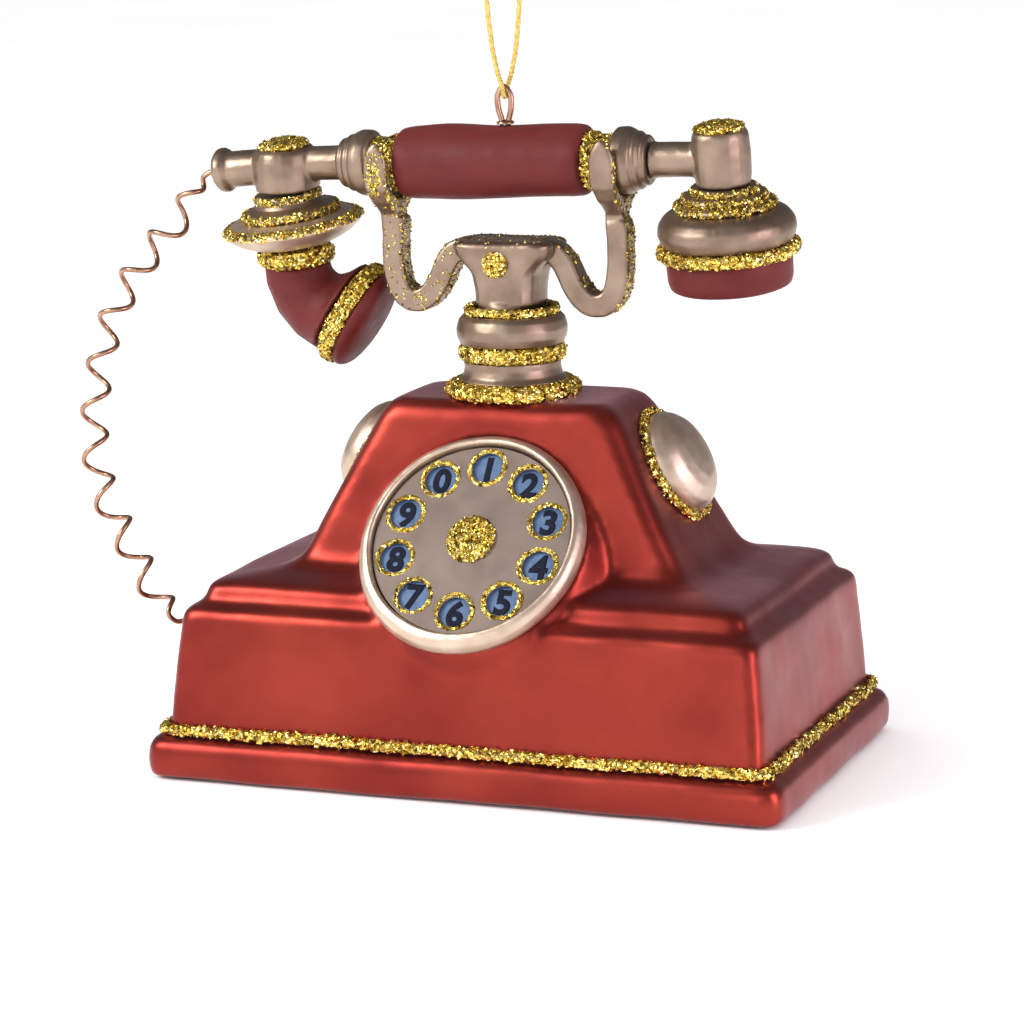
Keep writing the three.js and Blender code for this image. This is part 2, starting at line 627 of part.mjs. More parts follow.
function buildSwitch() {
  const hook = new THREE.Group();
  place(hook, "switch_bracket", switchBracket(), "steel");
  place(hook, "switch_lever", switchLever(), "brass");
  upper.add(hook);
}

// ---- Handset, drawn about its own axis: X along the grip, z = 0 on the axis ----
function alongX(profile, segments = 18) {
  return turned(profile, segments).rotateY(Math.PI / 2);
}

function gripBar() {
  const [a, b] = HANDSET.grip;
  const r = HANDSET.gripRadius;
  return alongX([
    [0, a], [11.4, a], [12.8, a + 1], [13.4, a + 5], [r, a + 18], [r, (a + b) / 2], [r, b - 18],
      [13.5, b - 5], [13, b - 1], [11.6, b], [0, b],
  ]);
}

// Radii and places from the grip outwards. side is -1 at the transmitter end and 1 at the receiver end.
function gripCollar(side) {
  const start = side > 0 ? HANDSET.grip[1] : -HANDSET.grip[0];
  const profile = [[0, start + GAP], [10.6, start + GAP], [10.2, start + 2.4], [8.8, start + 5],
    [8.8, start + 8.4], [9.6, start + 10.6], [0, start + 10.6]];
  return endOf(profile, side);
}

function ringedNeck(side) {
  const start = (side > 0 ? HANDSET.grip[1] : -HANDSET.grip[0]) + 10.9;
  return endOf([
    [0, start], [10.6, start], [12.2, start + 1.4], [12.4, start + 5], [11.4, start + 7.4],
      [10.6, start + 8], [10.8, start + 9.6],
    [9.8, start + 10.6], [9.2, start + 11], [9.4, start + 12.6], [8.4, start + 13.4], [0, start + 13.4],
  ], side);
}

// A profile drawn outwards along X, put on the left or the right end.
function endOf(profile, side) {
  const geometry = turned(profile, 18);
  return side > 0 ? geometry.rotateY(Math.PI / 2) : geometry.rotateY(-Math.PI / 2);
}

function teeRight() {
  const start = HANDSET.grip[1] + 24.6;
  const pipe = alongX([[0, start], [7.2, start], [TEE.tubeRadius, start + 2],
    [TEE.tubeRadius, TEE.right - 3], [0, TEE.right - 3]], 24);
  const barrel = turned([[0, -9.4], [10, -9.4], [10.4, -6], [10.8, 2], [10.6, 9], [9.6, 11.2],
    [0, 11.2]], 20).translate(TEE.right, 0, 0);
  return union(pipe, barrel);
}

// The stub for the cord droops a little from the tee.
function drooping(geometry) {
  return geometry.translate(-TEE.left, 0, 0).rotateY(-radians(5)).translate(TEE.left, 0, 0);
}

function teeLeft() {
  const start = -HANDSET.grip[0] + 24.6;
  const pipe = endOf([[0, start], [7.2, start], [TEE.tubeRadius, start + 2], [6.6, -TEE.left - 9],
    [6.6, -TEE.left], [0, -TEE.left]], -1);
  const barrel = turned([[0, -9.6], [12.4, -9.6], [12.8, -4], [12.6, 2], [11.6, 5.4], [10, 7],
    [0, 7]], 20).translate(TEE.left, 0, 0);
  const stub = drooping(endOf([[0, -TEE.left], [6.9, -TEE.left], [7, 108], [7, 115], [8.6, 116.6],
    [8.7, 119.2], [7, 120.8], [0, 120.8]], -1));
  return union(pipe, barrel, stub);
}

function teeCap(radius) {
  return turned([[0, 0], [radius, 0], [radius * 0.94, 1], [radius * 0.62, 2.2], [0, 2.6]], 24);
}

// The receiver hangs below its tee: z = 0 is the handset's axis, the mouth faces down.
function receiverCollar() {
  return turned([
    [0, -17.6], [18.4, -17.6], [19, -16.4], [18, -15.2], [15.2, -14.8], [15.9, -13.6], [15, -12.2],
      [11.8, -11.8], [12.2, -10.6], [11.4, -9.7], [0, -9.7],
  ], 20);
}

function receiverBell() {
  return turned([
    [0, -20.2], [17.6, -20.2], [21.2, -23], [22.2, -26], [21.6, -29.6], [24, -29.6], [25.3, -27.2],
      [25.6, -24.4], [24.4, -21.4], [21.4, -18.6], [17.6, -17.9], [0, -17.9],
  ], 24);
}

function receiverBand() {
  return ring(bead(27.4, -34.4, -29.9, 1.7), 20.8, 32);
}

function earpiece() {
  const cap = turned([
    [0, -47.6], [19.6, -47.6], [22.2, -46.6], [23, -44], [23.2, -37], [22.6, -34.7], [20.5, -34.7],
      [20.5, -31], [19, -31], [19, -43], [0, -43],
  ], 24);
  return cut(cap, ...soundHoles(-50, -41));
}

// The transmitter hangs below its tee in the same way, with a saucer over a curved horn.
function saucerCollar() {
  return turned([[0, -19.6], [20.6, -19.6], [21.2, -18.4], [20.2, -17], [16.6, -15.8], [16.9, -14.4],
    [15.8, -13.4], [13.2, -12.8], [13.6, -11.8], [12.8, -10.8], [0, -10.8]], 20);
}

function saucer() {
  return turned([[0, -31], [14.2, -31], [19, -29.4], [23.8, -27], [26.6, -24.6], [27.2, -23.2],
    [26.3, -22], [23.6, -20.4], [20.6, -19.9], [0, -19.9]], 24);
}

function hornRing() {
  return turned([[0, -38.2], [13.6, -38.2], [14.6, -36.6], [14.6, -34.4], [13.4, -32.4],
    [0, -32.4]], 20);
}

// The horn bends down and inwards from the ring to the mouthpiece.
const MOUTH = { x: 20.2, z: -57.4, down: 33 };

function horn() {
  const centres = [[0, -38.5], [0.2, -44], [3, -50.6], [7.4, -55.2], [12.6, -56.4], [17.5, -55.6]];
  const directions = [270, 278, 300, 322, 328, 327];
  const radii = [12.6, 13, 13.6, 14.4, 16.2, 19.4];
  const sides = 20;
  const positions = [];
  const index = [];
  centres.forEach(([x, z], s) => {
    const d = radians(directions[s]);
    for (let i = 0; i < sides; i++) {
      const a = (2 * Math.PI * i) / sides;
      const u = radii[s] * Math.cos(a);
      positions.push(x - u * Math.sin(d), radii[s] * Math.sin(a), z + u * Math.cos(d));
    }
  });
  for (let s = 0; s + 1 < centres.length; s++) {
    for (let i = 0; i < sides; i++) {
      const a = s * sides + i;
      const b = s * sides + ((i + 1) % sides);
      index.push(a, a + sides, b, b, a + sides, b + sides);
    }
  }
  const last = (centres.length - 1) * sides;
  for (let i = 1; i + 1 < sides; i++) {
    index.push(0, i, i + 1);
    index.push(last, last + i + 1, last + i);
  }
  const geometry = new THREE.BufferGeometry();
  geometry.setAttribute("position", new THREE.Float32BufferAttribute(positions, 3));
  geometry.setIndex(index);
  return geometry;
}

// Puts a geometry made about +Z onto the mouthpiece's axis, pointing out of the horn.
function onMouth(geometry) {
  return geometry.rotateY(radians(90 + MOUTH.down)).translate(MOUTH.x, 0, MOUTH.z);
}

function hornBand() {
  return onMouth(turned([[0, 0.3], [20.4, 0.3], [21.6, 1.6], [21.6, 3.2], [20.6, 4.6], [0, 4.6]], 20));
}

function mouthpiece() {
  const cap = turned([
    [0, 4.9], [19.6, 4.9], [20.2, 6.4], [19.6, 8.4], [17.4, 10.2], [13.6, 11.4], [8, 12.1], [0, 12.4],
  ], 20);
  return onMouth(cut(cap, ...soundHoles(8, 14)));
}

// Six holes round a seventh.
function soundHoles(z0, z1) {
  return [0, 1, 2, 3, 4, 5, 6].map((i) => {
    const a = (2 * Math.PI * i) / 6;
    const r = i === 6 ? 0 : 7;
    return cylinder(1.5, z0, z1, 6).translate(r * Math.cos(a), r * Math.sin(a), 0);
  });
}

// The cord's end piece screws into the stub.
function ferrule() {
  return turned([[0, 0], [3.6, 0], [3.4, 1.6], [2.4, 2], [0, 2]], 16).rotateY(-Math.PI / 2);
}

// A wire eye standing on the grip.
function hangEye() {
  const low = HANDSET.gripRadius + GAP;
  const loop = [[-1.6, 0, low + 0.4], [-2.6, 0, low + 5], [-2.6, 0, low + 10], [0, 0, low + 13.6],
    [2.6, 0, low + 10], [2.6, 0, low + 5], [1.6, 0, low + 0.4]];
  return union(tube(loop, 1.1, 12, 6), cylinder(3.6, low, low + 1.4, 14));
}

function buildHandset() {
  const handset = new THREE.Group();
  const shift = HANDSET.x;
  const about = new THREE.Group();
  about.position.x = -shift;
  place(about, "grip", gripBar(), "grip");
  place(about, "grip_collar_left", gripCollar(-1), "glitter");
  place(about, "grip_collar_right", gripCollar(1), "glitter");
  place(about, "ringed_neck_left", ringedNeck(-1), "gold");
  place(about, "ringed_neck_right", ringedNeck(1), "gold");
  place(about, "tee_left", teeLeft(), "gold");
  place(about, "tee_right", teeRight(), "gold");
  place(about, "cap_left", teeCap(9.6), "glitter").position.set(TEE.left, 0, 7.3);
  place(about, "cap_right", teeCap(9.2), "glitter").position.set(TEE.right, 0, 11.5);
  place(about, "cord_ferrule", drooping(ferrule().translate(-121.1, 0, 0)), "gold");
  const eye = place(about, "hang_eye", hangEye(), "copper");
  eye.position.x = -1.4;
  eye.rotation.x = -radians(HANDSET.roll);

  const receiver = new THREE.Group();
  receiver.position.x = TEE.right;
  place(receiver, "receiver_collar", receiverCollar(), "glitter");
  place(receiver, "receiver_bell", receiverBell(), "gold");
  place(receiver, "receiver_band", receiverBand(), "glitter");
  place(receiver, "earpiece", earpiece(), "grip");
  about.add(receiver);

  const transmitter = new THREE.Group();
  transmitter.position.x = TEE.left;
  const tilted = new THREE.Group();
  tilted.position.z = -20;
  tilted.rotation.y = -radians(4);
  place(tilted, "saucer_collar", saucerCollar().translate(0, 0, 20), "glitter");
  place(tilted, "saucer", saucer().translate(0, 0, 20), "gold");
  transmitter.add(tilted);
  place(transmitter, "horn_ring", hornRing(), "glitter");
  place(transmitter, "horn", horn(), "grip");
  place(transmitter, "horn_band", hornBand(), "glitter");
  place(transmitter, "mouthpiece", mouthpiece(), "grip");
  about.add(transmitter);

  handset.add(about);
  handset.position.set(shift, 0, HANDSET.z);
  handset.rotation.set(radians(HANDSET.roll), -radians(HANDSET.tilt), 0);
  upper.add(handset);
}

// ---- Cords ----
// The curly cord hangs out to the left in a bow, from the handset's stub to the case.
const CORD_LINE = [
  [-128.6, 0.2, 218.4], [-133.5, -3.8, 206], [-145.5, -7.6, 192.2], [-155.6, -11.5, 177.6],
    [-162.2, -15.3, 162.4],
  [-165.4, -19.1, 146.2], [-166.4, -22.9, 129.8], [-164.8, -26.7, 113.6], [-159.4, -30.5, 98.6],
    [-150.2, -34.4, 84.6],
  [-138.6, -38.2, 68], [-131, -40, 57.4], [-125, -40, 54.3], [-118.4, -40, 54],
];

// The thread is a long loop through the eye, closed by a knot above.
const THREAD_TOP = 298;

function hangThread() {
  const x = -1.6;
  const strand = (s) => [[0.3, 2.6, 255.6], [2.2, 1.6, 260], [4.6, 0.6, 270], [6.4, 0.2, 286],
    [6.6, 0, 291], [4, 0, 296.4], [0.6, 0, 298]]
    .map(([dx, y, z]) => [x + s * dx, s * y, z]);
  const loop = [...strand(-1).reverse(), [x, -1.6, 251.7], [x, 0, 250.9],
    [x, 1.6, 251.7], ...strand(1)];
  const knot = new THREE.SphereGeometry(2.6, 8, 6).translate(x, 0, THREAD_TOP);
  return union(tube(loop, THREAD_RADIUS, 24, 6), knot);
}

function buildCords() {
  place(telephone, "curly_cord", tube(CORD_LINE, CORD.radius, 20, 10), "copper");
  place(telephone, "hang_thread", hangThread(), "thread");
}

buildCase();
buildDial();
buildRinger();
buildNeck();
buildCradle();
buildSwitch();
buildHandset();
buildCords();

export default telephone;
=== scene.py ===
"""A red rotary telephone with champagne fittings and gold glitter trim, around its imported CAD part.

Shapes are drawn in millimetres in the part's frame and stored in metres: +X to the receiver, -Y towards the
person who dials, +Z up.
"""

import json
import math
import random

import bpy
import numpy as np
from mathutils import Matrix, Vector, noise


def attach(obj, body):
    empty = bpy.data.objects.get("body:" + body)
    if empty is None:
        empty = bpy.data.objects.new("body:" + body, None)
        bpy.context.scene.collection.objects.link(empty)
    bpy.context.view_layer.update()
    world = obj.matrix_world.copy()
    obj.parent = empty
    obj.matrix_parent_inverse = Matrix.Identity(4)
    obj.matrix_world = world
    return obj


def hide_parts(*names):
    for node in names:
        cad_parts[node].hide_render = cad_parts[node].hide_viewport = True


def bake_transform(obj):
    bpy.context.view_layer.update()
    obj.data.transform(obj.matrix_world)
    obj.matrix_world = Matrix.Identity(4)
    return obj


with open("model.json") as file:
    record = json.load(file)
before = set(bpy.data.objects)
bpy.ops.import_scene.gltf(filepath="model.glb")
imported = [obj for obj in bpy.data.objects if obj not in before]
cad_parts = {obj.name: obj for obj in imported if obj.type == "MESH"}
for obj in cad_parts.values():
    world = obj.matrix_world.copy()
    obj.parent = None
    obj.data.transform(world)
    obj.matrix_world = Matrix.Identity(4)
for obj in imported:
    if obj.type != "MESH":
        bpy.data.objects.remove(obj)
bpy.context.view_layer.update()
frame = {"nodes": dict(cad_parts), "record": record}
scene = bpy.context.scene
MM = 0.001
TINY = 1e-6

# Without a seed, mathutils' noise starts from the clock.
noise.seed_set(3)

# ---- Places of the groups, in millimetres, as in the CAD part ----
RAISE = Matrix.Translation((0, 0, 2))
HANDSET_X = -4.8
HANDSET_Z = 224.9
ROLL, TILT = 7, -1.5
TEE_LEFT, TEE_RIGHT = -92, 82.3
GRIP_ENDS = (-43, 31)
GRIP_RADIUS = 13.8
NECK_X = -1
TOWER_TOP = 138


def turn(degrees, axis):
    return Matrix.Rotation(math.radians(degrees), 4, axis)


def shift(x=0, y=0, z=0):
    return Matrix.Translation((x, y, z))


HANDSET = RAISE @ shift(HANDSET_X, 0, HANDSET_Z) @ turn(ROLL, "X") @ turn(TILT, "Y") @ shift(-HANDSET_X)
RECEIVER = HANDSET @ shift(TEE_RIGHT)
TRANSMITTER = HANDSET @ shift(TEE_LEFT)
SAUCER = TRANSMITTER @ shift(0, 0, -20) @ turn(-4, "Y") @ shift(0, 0, 20)
MOUTH = TRANSMITTER @ shift(20.2, 0, -57.4) @ turn(123, "Y")
EYE = HANDSET @ shift(-1.4) @ turn(-ROLL, "X")
DIAL = RAISE @ shift(0, -51.2, 93.2) @ turn(52, "X")
NECK = RAISE @ shift(NECK_X)
GONG_X, GONG_Y, GONG_Z, GONG_SLOPE = 59.54, 8.8, 112, 28.08


def gong_place(side):
    return RAISE @ shift(side * GONG_X, GONG_Y, GONG_Z) @ turn(side * (90 - GONG_SLOPE), "Y")


# ---- Camera ----
def make_camera():
    """The camera stands to the right of the dial, a little above it."""
    azimuth = math.radians(21.4785)
    pitch = math.radians(11.5283)
    roll = math.radians(-1.39959)
    level = Vector((math.cos(azimuth), math.sin(azimuth), 0))
    onward = Vector((-math.sin(azimuth), math.cos(azimuth), 0))
    ahead = onward * math.cos(pitch) - Vector((0, 0, math.sin(pitch)))
    upright = level.cross(ahead)
    right = level * math.cos(roll) + upright * math.sin(roll)
    up = upright * math.cos(roll) - level * math.sin(roll)
    data = bpy.data.cameras.new("camera")
    data.sensor_width = 36
    data.lens = 127.91
    camera = bpy.data.objects.new("camera", data)
    camera.matrix_world = Matrix((right, up, -ahead)).transposed().to_4x4()
    camera.matrix_world.translation = Vector((0.491387, -1.256328, 0.369351))
    scene.collection.objects.link(camera)
    scene.camera = camera


make_camera()


# ---- Material helpers ----
def surface(name, sockets):
    """A material whose Principled shader has these socket values."""
    material = bpy.data.materials.new(name)
    material.use_nodes = True
    shader = material.node_tree.nodes["Principled BSDF"]
    for socket, value in sockets.items():
        shader.inputs[socket].default_value = (*value, 1) if isinstance(value, tuple) else value
    return material


def add_node(owner, kind, **values):
    """A new node in a material or in the world."""
    node = owner.node_tree.nodes.new(kind)
    for key, value in values.items():
        setattr(node, key, value)
    return node


def link(owner, source, target):
    owner.node_tree.links.new(source, target)


def principled(material):
    return material.node_tree.nodes["Principled BSDF"]


def place_in_part(material):
    """The point's place in the part, in metres."""
    found = material.node_tree.nodes.get("part_place")
    if not found:
        found = add_node(material, "ShaderNodeTexCoord", name="part_place")
    return found.outputs["Object"]


def noise_value(material, scale, detail=3.0, stretch=None):
    node = add_node(material, "ShaderNodeTexNoise")
    node.inputs["Scale"].default_value = scale
    node.inputs["Detail"].default_value = detail
    place = place_in_part(material)
    if stretch:
        mapping = add_node(material, "ShaderNodeMapping")
        mapping.inputs["Scale"].default_value = stretch
        link(material, place, mapping.inputs["Vector"])
        place = mapping.outputs["Vector"]
    link(material, place, node.inputs["Vector"])
    return node.outputs["Fac"]


def ramp(owner, value, stops, target):
    """Colours over a value: stops are (place, colour) pairs."""
    node = add_node(owner, "ShaderNodeValToRGB")
    elements = node.color_ramp.elements
    while len(elements) < len(stops):
        elements.new(0.5)
    for element, (place, colour) in zip(elements, stops):
        element.position = place
        element.color = (*colour, 1)
    link(owner, value, node.inputs["Fac"])
    link(owner, node.outputs["Color"], target)


def spread(owner, value, low, high, target, from_low=0.3, from_high=0.7):
    """A value between low and high on the target."""
    node = add_node(owner, "ShaderNodeMapRange")
    node.inputs["From Min"].default_value = from_low
    node.inputs["From Max"].default_value = from_high
    node.inputs["To Min"].default_value = low
    node.inputs["To Max"].default_value = high
    link(owner, value, node.inputs["Value"])
    link(owner, node.outputs["Result"], target)


def relief(material, waves):
    """Bumps from (scale, height in metres) noises, one over the other."""
    normal = None
    for scale, height in waves:
        bump = add_node(material, "ShaderNodeBump")
        bump.inputs["Strength"].default_value = 1
        bump.inputs["Distance"].default_value = height
        link(material, noise_value(material, scale, 2), bump.inputs["Height"])
        if normal:
            link(material, normal, bump.inputs["Normal"])
        normal = bump.outputs["Normal"]
    link(material, normal, principled(material).inputs["Normal"])


# ---- Materials ----
def red_enamel():
    """Frosted metallic red, as lacquer over silver."""
    material = surface("red_enamel", {
        "Metallic": 0.95, "Coat Weight": 0.1, "Coat Roughness": 0.4,
        "Sheen Weight": 0.24, "Sheen Roughness": 0.35, "Sheen Tint": (1, 0.62, 0.76),
    })
    shader = principled(material)
    ramp(material, noise_value(material, 22, 3), [(0.3, (0.21, 0.019, 0.015)), (0.7, (0.34, 0.041, 0.026))],
         shader.inputs["Base Color"])
    spread(material, noise_value(material, 60, 4), 0.32, 0.42, shader.inputs["Roughness"])
    relief(material, [(30, 0.0009), (900, 0.00002)])
    return material


def red_bakelite():
    """Matte brick red with faint streaks along the grip."""
    material = surface("red_bakelite", {
        "Metallic": 0.0, "IOR": 1.5, "Specular IOR Level": 0.3,
        "Sheen Weight": 0.05, "Sheen Roughness": 0.45, "Sheen Tint": (1, 0.7, 0.68),
    })
    shader = principled(material)
    ramp(material, noise_value(material, 90, 4, (0.35, 1, 1)),
         [(0.3, (0.088, 0.0055, 0.0045)), (0.7, (0.124, 0.009, 0.0075))], shader.inputs["Base Color"])
    spread(material, noise_value(material, 130, 3), 0.5, 0.66, shader.inputs["Roughness"])
    relief(material, [(70, 0.00045), (1400, 0.00002)])
    return material


def champagne(name, low, high, rough):
    """Satin champagne metal with a hand-finished unevenness."""
    material = surface(name, {"Metallic": 0.95})
    shader = principled(material)
    ramp(material, noise_value(material, 75, 4), [(0.32, low), (0.66, high)], shader.inputs["Base Color"])
    spread(material, noise_value(material, 140, 4), *rough, shader.inputs["Roughness"])
    relief(material, [(80, 0.0008), (420, 0.00008)])
    return material


FLAKE_COLOURS = [(0.0, (0.26, 0.16, 0.025)), (0.2, (0.62, 0.42, 0.065)), (0.6, (0.90, 0.68, 0.13)),
                 (1.0, (1.0, 0.90, 0.40))]


def gold_glitter():
    """Coarse gold flakes: each cell has its own colour, polish and tilt."""
    cells_per_metre = 850
    most_tilt = 0.65
    material = surface("gold_glitter", {"Metallic": 1.0})
    shader = principled(material)
    cells = add_node(material, "ShaderNodeTexVoronoi")
    cells.inputs["Scale"].default_value = cells_per_metre
    link(material, place_in_part(material), cells.inputs["Vector"])
    channels = add_node(material, "ShaderNodeSeparateColor")
    link(material, cells.outputs["Color"], channels.inputs["Color"])
    ramp(material, channels.outputs["Red"], FLAKE_COLOURS, shader.inputs["Base Color"])
    spread(material, channels.outputs["Green"], 0.16, 0.42, shader.inputs["Roughness"], 0, 1)
    tilt = add_node(material, "ShaderNodeVectorMath", operation="MULTIPLY_ADD")
    colour, times, plus = tilt.inputs[:3]
    times.default_value = (2 * most_tilt,) * 3
    plus.default_value = (-most_tilt,) * 3
    link(material, cells.outputs["Color"], colour)
    geometry = add_node(material, "ShaderNodeNewGeometry")
    total = add_node(material, "ShaderNodeVectorMath", operation="ADD")
    link(material, geometry.outputs["Normal"], total.inputs[0])
    link(material, tilt.outputs["Vector"], total.inputs[1])
    unit = add_node(material, "ShaderNodeVectorMath", operation="NORMALIZE")
    link(material, total.outputs["Vector"], unit.inputs["Vector"])
    link(material, unit.outputs["Vector"], shader.inputs["Normal"])
    return material


def painted(name, low, high, metallic, rough, scale=120, height=0.0002, gloss=0.5):
    """Enamel with a soft mottle."""
    material = surface(name, {"Metallic": metallic, "IOR": 1.5, "Specular IOR Level": gloss})
    shader = principled(material)
    ramp(material, noise_value(material, scale, 4), [(0.3, low), (0.7, high)], shader.inputs["Base Color"])
    spread(material, noise_value(material, scale * 2, 3), *rough, shader.inputs["Roughness"])
    relief(material, [(scale, height), (1500, 0.00001)])
    return material


def brushed(name, low, high, stretch):
    """Drawn or brushed metal with lines along one direction."""
    material = surface(name, {"Metallic": 1.0})
    shader = principled(material)
    lines = noise_value(material, 500, 4, stretch)
    ramp(material, lines, [(0.3, low), (0.7, high)], shader.inputs["Base Color"])
    spread(material, lines, 0.24, 0.42, shader.inputs["Roughness"])
    relief(material, [(600, 0.00002)])
    return material


MATERIALS = {
    "red_enamel": red_enamel(),
    "red_bakelite": red_bakelite(),
    "champagne_gold": champagne("champagne_gold", (0.225, 0.155, 0.112), (0.345, 0.255, 0.19), (0.36, 0.48)),
    "pearl": champagne("pearl", (0.54, 0.41, 0.315), (0.71, 0.57, 0.455), (0.38, 0.5)),
    "gold_glitter": gold_glitter(),
    "dial_face": painted("dial_face", (0.17, 0.125, 0.102), (0.225, 0.172, 0.142), 0.5, (0.36, 0.5),
                         scale=45, height=0.0004),
    "number_enamel": painted("number_enamel", (0.055, 0.105, 0.215), (0.09, 0.155, 0.285), 0.1, (0.35, 0.5),
                             scale=300),
    "numeral": painted("numeral", (0.002, 0.003, 0.012), (0.006, 0.009, 0.024), 0.0, (0.6, 0.75),
                       scale=500, height=0.00005, gloss=0.2),
    "steel": brushed("steel", (0.36, 0.37, 0.39), (0.58, 0.59, 0.61), (1, 1, 0.1)),
    "brass": brushed("brass", (0.50, 0.35, 0.13), (0.68, 0.50, 0.21), (0.1, 1, 1)),
    "coil_wire": brushed("coil_wire", (0.22, 0.07, 0.025), (0.42, 0.16, 0.06), (0.05, 0.05, 1.6)),
    "rubber": painted("rubber", (0.012, 0.012, 0.013), (0.028, 0.027, 0.027), 0.0, (0.6, 0.8),
                      scale=260, height=0.0001),
    "copper_wire": brushed("copper_wire", (0.36, 0.19, 0.12), (0.55, 0.33, 0.22), (0.4, 0.4, 0.4)),
    "thread": painted("thread", (0.44, 0.31, 0.05), (0.78, 0.60, 0.16), 0.55, (0.35, 0.6),
                      scale=900, height=0.0001),
}


# ---- Mesh helpers ----
UNEVEN = 0.42
UNEVEN_SIZE = 24.0
ON_AXIS = 1e-4


def settle(points, amount):
    """Points moved a little by one smooth field that all pieces share, so touching pieces stay together."""
    return [p + noise.noise_vector(p / UNEVEN_SIZE) * amount for p in points]


def new_piece(name, points, faces, material, body, smooth=True, uneven=UNEVEN):
    """A mesh piece from points in millimetres in the part's frame, riding on a body."""
    settled = settle(points, uneven) if uneven else points
    data = bpy.data.meshes.new(name)
    data.from_pydata([[c * MM for c in p] for p in settled], [], faces)
    data.polygons.foreach_set("use_smooth", [smooth] * len(data.polygons))
    data.materials.append(MATERIALS[material])
    piece = bpy.data.objects.new(name, data)
    scene.collection.objects.link(piece)
    if body:
        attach(piece, body)
    return piece


def joined(parts):
    """One set of points and faces from several."""
    points, faces = [], []
    for made, made_faces in parts:
        base = len(points)
        points += made
        faces += [[base + k for k in face] for face in made_faces]
    return points, faces


def placed(points, place):
    return [place @ p for p in points]


def rounded(profile, reach=0.7, steps=3):
    """The profile with a short curve in place of each inner corner, and no stretch over the longest."""
    longest = 2
    share = 0.45
    pairs = [Vector(p) for p in profile]
    out = [pairs[0]]
    for a, p, b in zip(pairs, pairs[1:], pairs[2:]):
        before, after = a - p, b - p
        near = p + before * min(share, reach / max(before.length, TINY))
        far = p + after * min(share, reach / max(after.length, TINY))
        for i in range(steps + 1):
            t = i / steps
            out.append(near * (1 - t) ** 2 + p * 2 * t * (1 - t) + far * t * t)
    out.append(pairs[-1])
    fine = [out[0]]
    for a, b in zip(out, out[1:]):
        count = max(1, math.ceil((b - a).length / longest))
        fine += [a.lerp(b, (i + 1) / count) for i in range(count)]
    return fine


def lathe(profile, place, segments=96, flare=None):
    """Points and faces of a body of revolution.

    The profile's (radius, z) pairs start and end on the axis, or close on themselves.
    flare(angle, radius, z) gives a moved (radius, z).
    """
    points, faces, rings = [], [], []
    for r, z in profile:
        if r < ON_AXIS:
            rings.append([len(points)])
            points.append(place @ Vector((0, 0, z)))
            continue
        first = len(points)
        for i in range(segments):
            a = math.tau * i / segments
            rr, zz = flare(a, r, z) if flare else (r, z)
            points.append(place @ Vector((rr * math.cos(a), rr * math.sin(a), zz)))
        rings.append(list(range(first, first + segments)))
    for low, high in zip(rings, rings[1:]):
        for i in range(segments):
            j = (i + 1) % segments
            corners = [low[i % len(low)], low[j % len(low)], high[j % len(high)], high[i % len(high)]]
            face = list(dict.fromkeys(corners))
            if len(face) > 2:
                faces.append(face)
    return points, faces


def welded(points, faces):
    """Points in the same place become one, and faces that collapse go."""
    index, kept, out = {}, [], []
    for p in points:
        key = tuple(round(v, 4) for v in p)
        if key not in index:
            index[key] = len(kept)
            kept.append(p)
        out.append(index[key])
    joined = [list(dict.fromkeys(out[i] for i in face)) for face in faces]
    return kept, [face for face in joined if len(face) > 2]


def turned(name, profile, place, material, body, node, segments=96, reach=0.7, uneven=UNEVEN, flare=None):
    """A smooth turned piece in place of a CAD node."""
    points, faces = welded(*lathe(rounded(profile, reach), place, segments, flare))
    piece = new_piece(name, points, faces, material, body, uneven=uneven)
    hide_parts(node)


def shape_of(work):
    """Points and faces of an object as its modifiers leave it. The object itself goes."""
    scene.collection.objects.link(work)
    graph = bpy.context.evaluated_depsgraph_get()
    data = work.evaluated_get(graph).to_mesh()
    points = [v.co.copy() for v in data.vertices]
    faces = [list(p.vertices) for p in data.polygons]
    bpy.data.objects.remove(work)
    return points, faces


def remeshed(node, voxel, passes=0):
    """Points in millimetres and faces of a CAD node in even voxels, eased by some passes of smoothing."""
    work = bpy.data.objects.new("work", frame["nodes"][node].data.copy())
    remesh = work.modifiers.new("remesh", "REMESH")
    remesh.mode = "VOXEL"
    remesh.voxel_size = voxel * MM
    if passes:
        ease = work.modifiers.new("ease", "SMOOTH")
        ease.factor = 0.5
        ease.iterations = passes
    points, faces = shape_of(work)
    return [p / MM for p in points], faces


def softened(name, node, material, body, voxel, passes):
    """A copy of a CAD node, remeshed and eased into soft cast edges."""
    points, faces = remeshed(node, voxel, passes)
    piece = new_piece(name, points, faces, material, body)
    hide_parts(node)
    return piece


# ---- Glitter ----
FLAKE_LEAN = 0.42
FLAKE_THICK = 0.16
FLAKE_LIFT = 0.12
FLAKE_CORNERS = (4, 5, 6)
FLAKE_REACH = (0.38, 0.62)
FLAKE_SIZES = (0.7, 1.35)
CORNER_SHIFT = 0.22
BAND_STEP = 1.3
BAND_REACH = 0.5


def random_vector(draw):
    return Vector((draw(), draw(), draw()))


